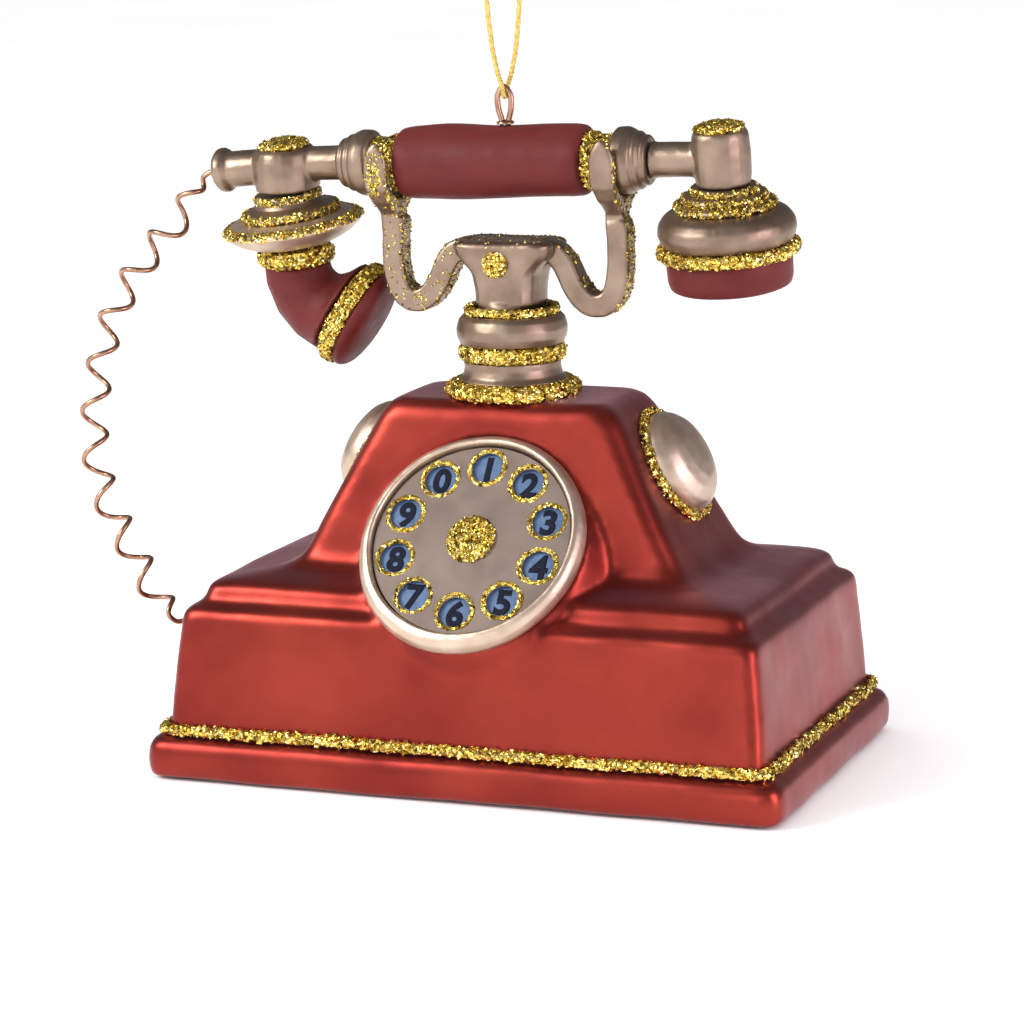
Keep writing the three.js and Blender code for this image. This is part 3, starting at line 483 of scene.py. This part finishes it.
def flake(rng, point, normal, size):
    """A small closed flake, thin at its edge, lying roughly along the surface."""
    lean = random_vector(lambda: rng.gauss(0, 1)) * FLAKE_LEAN
    up = (normal + lean).normalized()
    side = up.orthogonal().normalized()
    side = Matrix.Rotation(rng.uniform(0, math.tau), 3, up) @ side
    other = up.cross(side)
    count = rng.choice(FLAKE_CORNERS)
    thick = size * FLAKE_THICK
    centre = point + normal * size * FLAKE_LIFT
    rim = []
    for i in range(count):
        a = math.tau * (i + rng.uniform(-CORNER_SHIFT, CORNER_SHIFT)) / count
        r = size * rng.uniform(*FLAKE_REACH)
        rim.append(centre + side * r * math.cos(a) + other * r * math.sin(a))
    points = [*rim, centre + up * thick, centre - up * thick]
    faces = []
    for i in range(count):
        j = (i + 1) % count
        faces.append([i, j, count])
        faces.append([j, i, count + 1])
    return points, faces


def scattered(rng, points, faces, per_mm2, size, keep=None):
    """Flakes over faces, about per_mm2 to a square millimetre, where keep(point, normal) allows."""
    flakes = []
    for face in faces:
        a = points[face[0]]
        for i in range(1, len(face) - 1):
            b, c = points[face[i]], points[face[i + 1]]
            cross = (b - a).cross(c - a)
            area = cross.length / 2
            if area < TINY:
                continue
            count = int(area * per_mm2 + rng.random())
            for _ in range(count):
                u, v = rng.random(), rng.random()
                if u + v > 1:
                    u, v = 1 - u, 1 - v
                point = a + (b - a) * u + (c - a) * v
                normal = cross.normalized()
                if keep and not keep(point, normal):
                    continue
                flakes.append(flake(rng, point, normal, size * rng.uniform(*FLAKE_SIZES)))
    return joined(flakes)


def glittered(name, points, faces, body, nodes=(), seed=1, per_mm2=0.75, size=1.5, rough=0.3, keep=None):
    """A bed of rough gold with flakes all over it."""
    rng = random.Random(seed)
    bed = [p + random_vector(lambda: rng.uniform(-1, 1)) * rough for p in points]
    made = joined([(bed, faces), scattered(rng, points, faces, per_mm2, size, keep)])
    piece = new_piece(name, *made, "gold_glitter", body, smooth=False)
    if nodes:
        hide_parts(*nodes)
    return piece


def glitter_turned(name, profile, place, body, node=None, seed=1, **options):
    """A turned band of glitter."""
    fine = rounded(profile, BAND_REACH, 2)
    widest = max(r for r, _ in fine)
    segments = max(24, round(math.tau * widest / BAND_STEP))
    points, faces = welded(*lathe(fine, place, segments))
    return glittered(name, points, faces, body, [node] if node else (), seed, **options)


def ridges(name, profile, place, body, bands, seed, per_mm2=1.5, size=1.25):
    """Flakes on a turned piece, only where its profile is near a band's (radius, z, reach)."""
    points, faces = welded(*lathe(rounded(profile, BAND_REACH, 2), place, 90))
    back = place.inverted()

    def near(p, n):
        at = back @ p
        r = math.hypot(at.x, at.y)
        return any(math.hypot(r - a, at.z - b) < reach for a, b, reach in bands)

    made = scattered(random.Random(seed), points, faces, per_mm2, size, near)
    return new_piece(name, *made, "gold_glitter", body, smooth=False)


def flecks(name, piece, body, keep, seed, per_mm2, size):
    """Loose flakes on the surface of another piece."""
    points = [v.co / MM for v in piece.data.vertices]
    faces = [list(p.vertices) for p in piece.data.polygons]
    made = scattered(random.Random(seed), points, faces, per_mm2, size, keep)
    return new_piece(name, *made, "gold_glitter", body, smooth=False, uneven=0)


# ---- Lines and tubes ----
def spline(points, count):
    """A smooth line through the points, with count steps between each two."""
    p = [Vector(v) for v in points]
    p = [p[0] * 2 - p[1], *p, p[-1] * 2 - p[-2]]
    out = []
    for a, b, c, d in zip(p, p[1:], p[2:], p[3:]):
        for i in range(count):
            t = i / count
            out.append(0.5 * (2 * b + (c - a) * t + (2 * a - 5 * b + 4 * c - d) * t * t
                              + (3 * b - a - 3 * c + d) * t ** 3))
    out.append(p[-2])
    return out


def frames_along(line):
    """(tangent, side, other side) at each point of a line, without twist."""
    out, side = [], None
    for i in range(len(line)):
        ahead = (line[min(i + 1, len(line) - 1)] - line[max(i - 1, 0)]).normalized()
        if side is None:
            side = ahead.orthogonal().normalized()
        side = (side - ahead * side.dot(ahead)).normalized()
        out.append((ahead, side, ahead.cross(side)))
    return out


def tube(line, radius, sides=10, section=None):
    """A closed tube along a line. section(step, angle) scales the radius."""
    points, faces = [], []
    for i, (p, (_, side, other)) in enumerate(zip(line, frames_along(line))):
        for k in range(sides):
            a = math.tau * k / sides
            r = radius * (section(i, a) if section else 1)
            points.append(p + side * r * math.cos(a) + other * r * math.sin(a))
    for i in range(len(line) - 1):
        for k in range(sides):
            j = (k + 1) % sides
            faces.append([i * sides + k, i * sides + j, (i + 1) * sides + j, (i + 1) * sides + k])
    last = (len(line) - 1) * sides
    faces.append(list(range(sides))[::-1])
    faces.append([last + k for k in range(sides)])
    return points, faces


# ---- Cords ----
CORD_LINE = [
    (-121.6, 0.6, 221.3), (-125, 0.6, 220.4), (-128.9, 0, 216.6), (-133.5, -3.8, 206), (-145.5, -7.6, 192.2),
    (-155.6, -11.5, 177.6), (-162.2, -15.3, 162.4), (-165.4, -19.1, 146.2), (-166.4, -22.9, 129.8),
    (-164.8, -26.7, 113.6), (-159.4, -30.5, 98.6), (-150.2, -34.4, 84.6), (-138.6, -38.2, 68),
    (-131, -40, 57.4), (-125, -40, 54.3), (-115.6, -40, 54),
]
CORD_TURNS, CORD_REACH, WIRE = 11.5, 4.9, 2.0
# The level direction from which the coil's turns are counted.
CORD_SIDEWAYS = Vector((0.9306, 0.3661, 0))
# The share of the length over which the coil narrows, at each end.
CORD_NARROW = 0.03
TURN_STEPS = 20
THREAD = 1.9
THREAD_LAY = 3.4
THREAD_X, THREAD_FOOT, THREAD_TOP = -1.6, 250.9, 298


def curly_line():
    """The wire's centreline: a helix along the cord's line, narrowing to the line at both ends."""
    line = spline(CORD_LINE, 30)
    reach = [0.0]
    for a, b in zip(line, line[1:]):
        reach.append(reach[-1] + (b - a).length)
    flat = np.array(line)

    def at(distance):
        inside = min(max(distance, 0), reach[-1])
        return Vector([np.interp(inside, reach, flat[:, k]) for k in range(3)])

    look = 0.5
    steps = round(CORD_TURNS * TURN_STEPS)
    out = []
    for i in range(steps + 1):
        share = i / steps
        here = share * reach[-1]
        ahead = (at(here + look) - at(here - look)).normalized()
        side = (CORD_SIDEWAYS - ahead * CORD_SIDEWAYS.dot(ahead)).normalized()
        angle = math.pi + math.tau * CORD_TURNS * share
        after_start = max(0, share - CORD_NARROW) / CORD_NARROW
        before_end = max(0, 1 - CORD_NARROW - share) / CORD_NARROW
        wide = CORD_REACH * min(1, after_start, before_end)
        out.append(at(here) + (side * math.cos(angle) + ahead.cross(side) * math.sin(angle)) * wide)
    return out


def length_of(line):
    return sum((b - a).length for a, b in zip(line, line[1:]))


def make_curly_cord():
    """The coiled wire, running from the case at one end to the handset at the other."""
    line = curly_line()
    points, faces = tube(line, WIRE / 2, 12)
    piece = new_piece("curly_cord_wire", points, faces, "copper_wire", None, uneven=0)
    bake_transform(piece)
    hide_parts("curly_cord")


def thread_line():
    """From the eye up one strand to the knot, and down the other to the eye."""
    strand = [(0.3, 2.6, 255.6), (2.2, 1.6, 260), (4.6, 0.6, 270), (6.4, 0.2, 286), (6.6, 0, 291),
              (4, 0, 296.4)]
    there = [(THREAD_X + x, y, z) for x, y, z in strand]
    back = [(THREAD_X - x, -y, z) for x, y, z in reversed(strand)]
    start = [(THREAD_X, 0, THREAD_FOOT), (THREAD_X, 1.6, THREAD_FOOT + 0.8)]
    end = [(THREAD_X, -1.6, THREAD_FOOT + 0.8), (THREAD_X, -0.1, THREAD_FOOT)]
    return spline([*start, *there, (THREAD_X, 0, THREAD_TOP), *back, *end], 16)


def knot_line(centre, steps=40):
    """One strand through a trefoil knot, and back to where it starts."""
    out = []
    for k in range(steps + 1):
        a = math.tau * k / steps
        x = 1.5 * math.sin(a) + math.sin(2 * a)
        y = 1.5 * math.cos(a) - math.cos(2 * a)
        out.append(centre + Vector((x, y, -1.2 * math.sin(3 * a))))
    return out


def make_thread():
    """Two metallic strands laid together, looped through the eye and knotted above."""
    line = thread_line()
    step = length_of(line) / (len(line) - 1)

    def strands(i, angle):
        across = angle - math.tau * i * step / THREAD_LAY
        return 0.58 + 0.42 * abs(math.cos(across)) ** 0.7

    points, faces = tube(line, THREAD / 2, 14, strands)
    piece = new_piece("thread_loop", points, faces, "thread", "handset", uneven=0)
    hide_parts("hang_thread")
    points, faces = tube(knot_line(Vector((THREAD_X, 0, THREAD_TOP))), 0.8, 10)
    tied = new_piece("thread_knot", points, faces, "thread", "handset", uneven=0)


make_curly_cord()
make_thread()


# ---- Case ----
def make_case():
    """The soft-edged plinth and case, with a bed of glitter on the joint between them."""
    softened("plinth_shell", "plinth", "red_enamel", "base", 1.7, 6)
    softened("case_shell", "body_shell", "red_enamel", "base", 1.5, 10)
    half_width, half_depth = 120, 74

    def faces_out(p, n):
        outward = Vector((p.x / half_width, p.y / half_depth, 0.4))
        return n.z > -0.4 and n.dot(outward) > 0

    points, faces = remeshed("base_trim", 1.15)
    glittered("trim_glitter", points, faces, "base", ["base_trim"], 3, per_mm2=0.45, size=2.1, rough=0.42,
              keep=faces_out)


make_case()


# ---- Dial ----
HOLES, HOLE_CIRCLE, HOLE_RADIUS = 10, 29.5, 6.0
WHEEL_RADIUS, WHEEL_BORE = 38.1, 3.2
WHEEL_FOOT, WHEEL_TOP = -3.4, -2.5
PLATE_TOP = -4.0
NUMERAL_SIZE, NUMERAL_WEIGHT, NUMERAL_RELIEF = 13.2, 0.55, 0.3


def hole_places():
    """The middle of each finger hole, clockwise from the one at the top."""
    angles = [math.pi / 2 - math.tau * i / HOLES for i in range(HOLES)]
    return [(HOLE_CIRCLE * math.cos(a), HOLE_CIRCLE * math.sin(a)) for a in angles]


def disc_with_holes(places, bevel=0.35):
    """Points and faces of the finger wheel, its edges eased."""
    curve = bpy.data.curves.new("disc", "CURVE")
    curve.dimensions = "2D"
    curve.fill_mode = "BOTH"
    curve.extrude = (WHEEL_TOP - WHEEL_FOOT) / 2 - bevel
    curve.bevel_depth = bevel
    curve.bevel_resolution = 3
    curve.offset = -bevel
    circles = [(0, 0, WHEEL_RADIUS, 160)]
    circles += [(x, y, HOLE_RADIUS, 48) for x, y in places]
    circles += [(0, 0, WHEEL_BORE, 32)]
    for x, y, r, count in circles:
        line = curve.splines.new("POLY")
        line.points.add(count - 1)
        for i, point in enumerate(line.points):
            a = math.tau * i / count
            point.co = (x + r * math.cos(a), y + r * math.sin(a), 0, 1)
        line.use_cyclic_u = True
    points, faces = shape_of(bpy.data.objects.new("disc", curve))
    middle = Vector((0, 0, (WHEEL_FOOT + WHEEL_TOP) / 2))
    return welded([p + middle for p in points], faces)


def digit(text, x, y, z):
    """Points and faces of one bold upright numeral."""
    curve = bpy.data.curves.new("numeral", "FONT")
    curve.body = text
    curve.size = NUMERAL_SIZE
    curve.align_x = "CENTER"
    curve.bevel_depth = NUMERAL_WEIGHT
    curve.bevel_resolution = 1
    points, faces = shape_of(bpy.data.objects.new("numeral", curve))
    low = Vector([min(p[k] for p in points) for k in range(3)])
    high = Vector([max(p[k] for p in points) for k in range(3)])
    centred = [p - (low + high) / 2 for p in points]
    return welded([Vector((x + p.x, y + p.y, z + NUMERAL_RELIEF * p.z)) for p in centred], faces)


def make_dial_rim():
    """A pale rim, thicker at its lower side."""
    def thick_below(angle, r, z):
        low = max(0.0, -math.sin(angle + 0.35)) ** 1.5
        outer = max(0.0, (r - 40.4) / 2.6)
        raised = 0.5 if z > -4 else 0
        return r + 1.9 * low * outer, z + raised * low * outer

    profile = [(38.6, -8.8), (40.3, -8.8), (40.3, -7.6), (42.6, -7.4), (43.2, -5.0), (42.6, -2.2),
               (41.2, -0.3), (39.6, 0.2), (38.7, -0.6), (38.6, -2), (38.6, -8.8)]
    turned("dial_rim", profile, DIAL, "pearl", "base", "dial_bezel", segments=180, flare=thick_below)


def make_number_plate(places):
    """The plate under the wheel, with a blue spot and a numeral for each finger hole."""
    bore, radius, foot, top = 3.4, 38.2, -5.8, PLATE_TOP - 0.15
    turned("number_disc", [(bore, foot), (radius, foot), (radius, top), (bore, top), (bore, foot)], DIAL,
           "dial_face", "base", "number_plate", segments=120, reach=0.2, uneven=0)
    spot = rounded([(0, -4.6), (7.6, -4.6), (7.4, PLATE_TOP - 0.08), (0, PLATE_TOP)], 0.3)
    points, faces = joined([lathe(spot, shift(x, y), 40) for x, y in places])
    new_piece("number_spots", placed(points, DIAL), faces, "number_enamel", "base", uneven=0)
    digits = [digit(str((i + 1) % HOLES), x, y, PLATE_TOP + 0.12) for i, (x, y) in enumerate(places)]
    points, faces = joined(digits)
    new_piece("numerals", placed(points, DIAL), faces, "numeral", "base", smooth=False, uneven=0)


def make_finger_wheel(places):
    """The wheel, with glitter round its holes and on its boss."""
    top = WHEEL_TOP
    axis = DIAL.to_3x3() @ Vector((0, 0, 1))
    points, faces = disc_with_holes(places)
    wheel = new_piece("wheel_disc", placed(points, DIAL), faces, "dial_face", "dial", uneven=0)
    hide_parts("finger_wheel")
    for polygon in wheel.data.polygons:
        polygon.use_smooth = abs(polygon.normal.dot(axis)) < 0.999
    ring = rounded([(6.1, top - 0.3), (6.2, top + 0.3), (7.0, top + 0.55), (7.7, top + 0.2),
                    (7.9, top - 0.3), (6.1, top - 0.3)], 0.3, 2)
    points, faces = joined([welded(*lathe(ring, shift(x, y), 34)) for x, y in places])
    glittered("hole_glitter", placed(points, DIAL), faces, "dial", (), 11, per_mm2=0.75, size=1.15,
              rough=0.22, keep=lambda p, n: n.dot(axis) > 0.1)
    boss = [(0, top), (9.2, top), (9.2, top + 0.9), (7.4, top + 2.1), (4, top + 2.9), (0, top + 3.1)]
    glitter_turned("boss_glitter", boss, DIAL, "dial", "centre_boss", 12, size=1.35)


make_dial_rim()
make_number_plate(hole_places())
make_finger_wheel(hole_places())


# ---- Neck, cradle and gongs ----
def bead(radius, z0, z1, swell=1.2, steps=6):
    """The outside of a rounded ring, from its foot at z0 to its top at z1."""
    middle, half = (z0 + z1) / 2, (z1 - z0) / 2
    angles = [math.pi * i / steps for i in range(steps + 1)]
    return [(radius - swell * (1 - math.sin(a)), middle - half * math.cos(a)) for a in angles]


def ringed(outline, bore=15.3):
    """An outline closed through a bore."""
    z0, z1 = outline[0][1], outline[-1][1]
    return [(bore, z0), *outline, (bore, z1), (bore, z0)]


def make_neck():
    """Plain collars and glitter rings, stacked on the tower."""
    z = TOWER_TOP + 0.3
    flange = ringed([(24.6, z), (25.4, z + 1.6), (24.8, z + 3.4), (22.8, z + 4.9)])
    lower = ringed([(20.6, z + 5.2), (18.8, z + 7), (18.1, z + 10), (18.4, z + 12.6)])
    thick_ring = ringed(bead(20, z + 13.2, z + 18.3, 1.4))
    upper = ringed([(19.4, z + 18.9), (20.8, z + 22), (21, z + 25), (20, z + 28.4), (18.2, z + 30.2)])
    thin_ring = ringed(bead(18, z + 30.5, z + 33, 0.8))
    glitter_turned("neck_flange_glitter", flange, NECK, "base", "neck_flange", 21)
    turned("neck_lower", lower, NECK, "champagne_gold", "base", "neck_collar_lower")
    glitter_turned("neck_ring_glitter", thick_ring, NECK, "base", "neck_ring", 22)
    turned("neck_upper", upper, NECK, "champagne_gold", "base", "neck_collar_upper")
    glitter_turned("neck_thin_glitter", thin_ring, NECK, "base", "neck_ring_thin", 23, size=1.2)


def draw_in_below(piece, shoulder=194, depth=9, share=0.26):
    """A casting's sides draw in towards the neck's axis below its shoulder."""
    for vertex in piece.data.vertices:
        below = min(1, max(0, (shoulder - vertex.co.z / MM) / depth))
        eased = below * below * (3 - 2 * below)
        vertex.co.x += (NECK_X * MM - vertex.co.x) * share * eased


def make_cradle():
    """The hub and its two arms, with a rosette and stray flakes."""
    hub = softened("hub_casting", "cradle_hub", "champagne_gold", "cradle", 0.8, 10)
    draw_in_below(hub)
    left = softened("arm_left_casting", "arm_left", "champagne_gold", "cradle", 0.6, 36)
    right = softened("arm_right_casting", "arm_right", "champagne_gold", "cradle", 0.6, 36)
    place = RAISE @ shift(NECK_X - 0.6, -14.35, 188.2) @ turn(90, "X")
    rosette = [(0, 0), (4.6, 0), (4.7, 0.9), (3.8, 1.7), (2, 2.1), (0, 2.2)]
    glitter_turned("rosette_glitter", rosette, place, "cradle", "hub_rosette", 31, size=1.2, per_mm2=0.9)

    def front(p, n):
        return n.y < -0.3

    def leaf_spot(p, n):
        return front(p, n) and math.hypot((p.x + 48.6) / 2.9, (p.z - 221) / 6.5) < 1

    def inside_bend(p, n):
        return n.z > 0.45 and p.z < 196

    def left_edge(p, n):
        return n.x > 0.55 or inside_bend(p, n)

    def right_edge(p, n):
        return (n.x > 0.55 and p.x > 38) or inside_bend(p, n)

    def hub_top(p, n):
        return n.z > 0.3 and p.z > 196

    flecks("arm_left_flecks", left, "cradle", front, 32, 0.2, 1.0)
    flecks("arm_left_edge_flecks", left, "cradle", left_edge, 35, 0.5, 1.1)
    flecks("leaf_flecks", left, "cradle", leaf_spot, 36, 1.5, 1.2)
    flecks("arm_right_flecks", right, "cradle", right_edge, 33, 0.5, 1.1)
    flecks("hub_flecks", hub, "cradle", hub_top, 34, 0.1, 1.0)


def make_gongs():
    """Two hollow domes on stems, each in a ring of glitter."""
    r, h, stem = 20.2, 12, 2.5
    outer = [(r, 0.3), (r * 0.985, h * 0.25), (r * 0.9, h * 0.52), (r * 0.74, h * 0.76), (r * 0.5, h * 0.92),
             (r * 0.24, h * 0.985), (0, h)]
    inner = [(stem, h - 1.5), (r * 0.5, h * 0.92 - 1.5), (r * 0.74 - 0.8, h * 0.76 - 1.2),
             (r * 0.9 - 1.3, h * 0.52 - 0.8), (r - 1.5, h * 0.25), (r - 1.4, 0.3)]
    dome = [(0, 0.3), (stem, 0.3), *inner, *outer]
    rim = [(r + 0.4, -0.6), (r + 2.4, -0.5), (r + 2.2, 1.0), (r + 0.9, 1.8), (r + 0.3, 1.2), (r + 0.4, -0.6)]
    for side, name in ((-1, "left"), (1, "right")):
        place = gong_place(side)
        turned(f"gong_{name}_dome", dome, place, "pearl", "base", f"gong_{name}", reach=1.0, uneven=0)
        glitter_turned(f"gong_{name}_glitter", rim, place, "base", None, 41 + side, size=1.5)


make_neck()
make_cradle()
make_gongs()


# ---- Handset ----
def end_place(side):
    """A place on the handset with its axis pointing outwards on one side."""
    return HANDSET @ turn(90 * side, "Y")


def make_grip():
    """The dark bar, ringed and banded at both ends, between the two tees."""
    a, b = GRIP_ENDS
    r = GRIP_RADIUS
    bar = [(0, a), (11.4, a), (12.8, a + 1), (13.4, a + 5), (r, a + 18), (r, (a + b) / 2), (r, b - 18),
           (13.5, b - 5), (13, b - 1), (11.6, b), (0, b)]
    turned("grip_bar", bar, end_place(1), "red_bakelite", "handset", "grip", reach=1.5, uneven=0.9)
    collar = [(0, 0.3), (10.8, 0.3), (10.4, 2.4), (9.2, 5), (9.2, 8.4), (9.8, 10.6), (0, 10.6)]
    rings = [(0, 10.9), (10.6, 10.9), (12.2, 12.3), (12.4, 15.9), (11.4, 18.3), (10.6, 18.9), (10.8, 20.5),
             (9.8, 21.5), (9.2, 21.9), (9.4, 23.5), (8.4, 24.3), (0, 24.3)]
    for side, name, end in ((-1, "left", -a), (1, "right", b)):
        glitter_turned(f"grip_{name}_glitter", [(x, end + z) for x, z in collar], end_place(side), "handset",
                       f"grip_collar_{name}", 51 + side)
        turned(f"neck_{name}_rings", [(x, end + z) for x, z in rings], end_place(side), "champagne_gold",
               "handset", f"ringed_neck_{name}")
    softened("tee_left_casting", "tee_left", "champagne_gold", "handset", 0.7, 5)
    softened("tee_right_casting", "tee_right", "champagne_gold", "handset", 0.7, 5)
    for name, x, z, radius, seed in (("left", TEE_LEFT, 7.3, 9.8, 54), ("right", TEE_RIGHT, 11.5, 9.4, 55)):
        cap = [(0, 0), (radius, 0), (radius * 0.94, 1), (radius * 0.62, 2.0), (0, 2.4)]
        glitter_turned(f"cap_{name}_glitter", cap, HANDSET @ shift(x, 0, z), "handset", f"cap_{name}", seed)


def make_receiver():
    """Stepped collar, bell, glitter band and dark cap, hanging from the right tee."""
    steps = [(0, -17.6), (18.2, -17.6), (19, -16.6), (18.2, -15.4), (14.8, -14.9), (15.9, -13.8),
             (14.9, -12.4), (11.6, -11.9), (12.4, -10.8), (11.5, -9.7), (0, -9.7)]
    turned("receiver_steps", steps, RECEIVER, "champagne_gold", "handset", "receiver_collar", reach=0.5)
    ridges("receiver_step_glitter", steps, RECEIVER, "handset",
           [(18.8, -16.4, 1.7), (15.7, -13.7, 1.5), (12.3, -10.8, 1.3)], 61)
    bell = [(0, -20.2), (17.6, -20.2), (21.2, -23), (22.2, -26), (21.6, -31), (23.8, -31), (24.6, -29.4),
            (25.7, -26.4), (25.2, -23), (23, -20), (20, -18.4), (17.6, -17.8), (0, -17.8)]
    turned("receiver_cup", bell, RECEIVER, "champagne_gold", "handset", "receiver_bell", reach=1.2)
    band = ringed(bead(26.4, -35.2, -31.3, 1.7), 20.8)
    glitter_turned("receiver_band_glitter", band, RECEIVER, "handset", "receiver_band", 62)
    cap = [(0, -44.6), (18, -44.9), (19.6, -47.6), (22.2, -46.6), (23, -44), (23.2, -37), (22.6, -34.7),
           (20.5, -34.7), (20.5, -31), (19, -31), (19, -40), (0, -40)]
    turned("earpiece_cap", cap, RECEIVER, "red_bakelite", "handset", "earpiece")


def make_transmitter():
    """Stepped collar, saucer, curved horn and mouthpiece, hanging from the left tee."""
    steps = [(0, -19.6), (18.0, -19.6), (18.9, -18.2), (17.8, -16.8), (13.2, -15.6), (12.2, -13.8),
             (12.9, -12.4), (12.2, -10.8), (0, -10.8)]
    turned("saucer_steps", steps, SAUCER, "champagne_gold", "handset", "saucer_collar", reach=0.5)
    ridges("saucer_step_glitter", steps, SAUCER, "handset", [(18.6, -18, 1.7), (12.8, -12.4, 1.5)], 71)
    disc = [(0, -31), (14.2, -31), (17.8, -29.9), (22.6, -27.6), (25.8, -25.2), (27.1, -23.5), (26.4, -22.2),
            (23, -20.6), (20, -19.9), (0, -19.9)]
    turned("saucer_disc", disc, SAUCER, "pearl", "handset", "saucer", reach=1.2)
    ridges("saucer_rim_glitter", disc, SAUCER, "handset", [(25.4, -22.2, 2.1)], 74)
    ring = [(0, -38.2), (13.6, -38.2), (14.6, -36.6), (14.6, -34.4), (13.4, -32.4), (0, -32.4)]
    glitter_turned("horn_ring_glitter", ring, TRANSMITTER, "handset", "horn_ring", 72)
    softened("horn_tube", "horn", "red_bakelite", "handset", 0.9, 8)
    band = [(0, -1.8), (18.4, -1.8), (20.2, -0.4), (21, 1.2), (21, 3.1), (20.4, 4.6), (0, 4.6)]
    glitter_turned("mouth_band_glitter", band, MOUTH, "handset", "horn_band", 73)
    cap = [(0, 4.9), (19.6, 4.9), (20.3, 6.4), (19.7, 8.4), (17.4, 10.2), (13.6, 11.3), (8, 12), (0, 12.3)]
    turned("mouthpiece_cap", cap, MOUTH, "red_bakelite", "handset", "mouthpiece", reach=1.5)


def make_eye():
    """A wire eye standing on a small foot on the grip."""
    low = GRIP_RADIUS + 0.3
    half = [(0.9, -0.6), (1.7, 2.4), (2.6, 6), (2.5, 10.4)]
    up = [(-x, 0, low + z) for x, z in half]
    down = [(x, 0, low + z) for x, z in reversed(half)]
    points, faces = tube(spline([*up, (0, 0, low + 13.5), *down], 10), 1.1, 14)
    profile = [(0, low - 0.4), (3.4, low - 0.2), (3.2, low + 0.7), (1.6, low + 1.3), (0, low + 1.4)]
    foot = lathe(rounded(profile, 0.4), EYE, 32)
    points, faces = joined([(placed(points, EYE), faces), foot])
    piece = new_piece("eye_wire", points, faces, "copper_wire", "handset", uneven=0)
    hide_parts("hang_eye")


make_grip()
make_receiver()
make_transmitter()
make_eye()


# ---- CAD nodes that show as they are ----
EASED_EDGE = 0.15
EASED_ANGLE = 35


def finish_cad_nodes():
    """Machined and moulded pieces keep their shape, with eased edges and their own finish."""
    slots = {row["node"]: row["material_slot"] for row in frame["record"]["subparts"]}
    for name, node in frame["nodes"].items():
        if node.hide_render:
            continue
        node.data.materials.clear()
        node.data.materials.append(MATERIALS[slots[name]])
        bevel = node.modifiers.new("eased", "BEVEL")
        bevel.width = EASED_EDGE * MM
        bevel.segments = 2
        bevel.limit_method = "ANGLE"
        bevel.angle_limit = math.radians(EASED_ANGLE)


finish_cad_nodes()


# ---- Stage ----
def area_light(name, place, target, size, power, colour=(1, 1, 1)):
    data = bpy.data.lights.new(name, "AREA")
    data.shape = "RECTANGLE"
    data.size, data.size_y = size
    data.energy = power
    data.color = colour
    lamp = bpy.data.objects.new(name, data)
    lamp.location = place
    lamp.rotation_euler = (Vector(target) - Vector(place)).to_track_quat("-Z", "Y").to_euler()
    scene.collection.objects.link(lamp)


def make_room():
    """A white room. What polished metal mirrors of it falls off towards a darker ceiling and back."""
    greys = [(0.0, 0.72), (0.28, 0.52), (0.6, 0.26), (1.0, 0.18)]
    world = bpy.data.worlds.new("room")
    world.use_nodes = True
    place = add_node(world, "ShaderNodeTexCoord")
    split = add_node(world, "ShaderNodeSeparateXYZ")
    link(world, place.outputs["Generated"], split.inputs["Vector"])
    mirrored = add_node(world, "ShaderNodeVectorMath", operation="SCALE")
    ramp(world, split.outputs["Z"], [(at, (grey,) * 3) for at, grey in greys], mirrored.inputs["Vector"])
    spread(world, split.outputs["Y"], 1, 0.32, mirrored.inputs["Scale"], -0.3, 0.7)
    ray = add_node(world, "ShaderNodeLightPath")
    choice = add_node(world, "ShaderNodeMix", data_type="RGBA")
    inputs = {socket.identifier: socket for socket in choice.inputs}
    outputs = {socket.identifier: socket for socket in choice.outputs}
    inputs["A_Color"].default_value = (1, 1, 1, 1)
    link(world, ray.outputs["Is Glossy Ray"], inputs["Factor_Float"])
    link(world, mirrored.outputs["Vector"], inputs["B_Color"])
    background = world.node_tree.nodes["Background"]
    background.inputs["Strength"].default_value = 1.08
    link(world, outputs["Result_Color"], background.inputs["Color"])
    scene.world = world


def make_stage():
    """A wide pale floor and three soft lamps in the room."""
    left, right, near, far = -9, 9, -6, 14
    material = surface("pale_floor", {"Roughness": 0.9, "Specular IOR Level": 0.2})
    ramp(material, noise_value(material, 3, 2), [(0.3, (0.93, 0.93, 0.935)), (0.7, (0.95, 0.95, 0.95))],
         principled(material).inputs["Base Color"])
    data = bpy.data.meshes.new("floor")
    corners = [(left, near, 0), (right, near, 0), (right, far, 0), (left, far, 0)]
    data.from_pydata(corners, [], [(0, 1, 2, 3)])
    data.materials.append(material)
    floor = bpy.data.objects.new("floor", data)
    scene.collection.objects.link(floor)
    make_room()
    scene.view_settings.view_transform = "Standard"
    area_light("key", (-1.05, -0.95, 1.0), (0, 0, 0.12), (0.6, 0.6), 20)
    area_light("side", (1.5, -0.35, 0.45), (0, 0, 0.1), (0.8, 0.8), 11, (1, 0.84, 0.97))
    area_light("front", (-0.15, -1.8, 0.5), (0, 0, 0.1), (0.5, 0.5), 3)


make_stage()
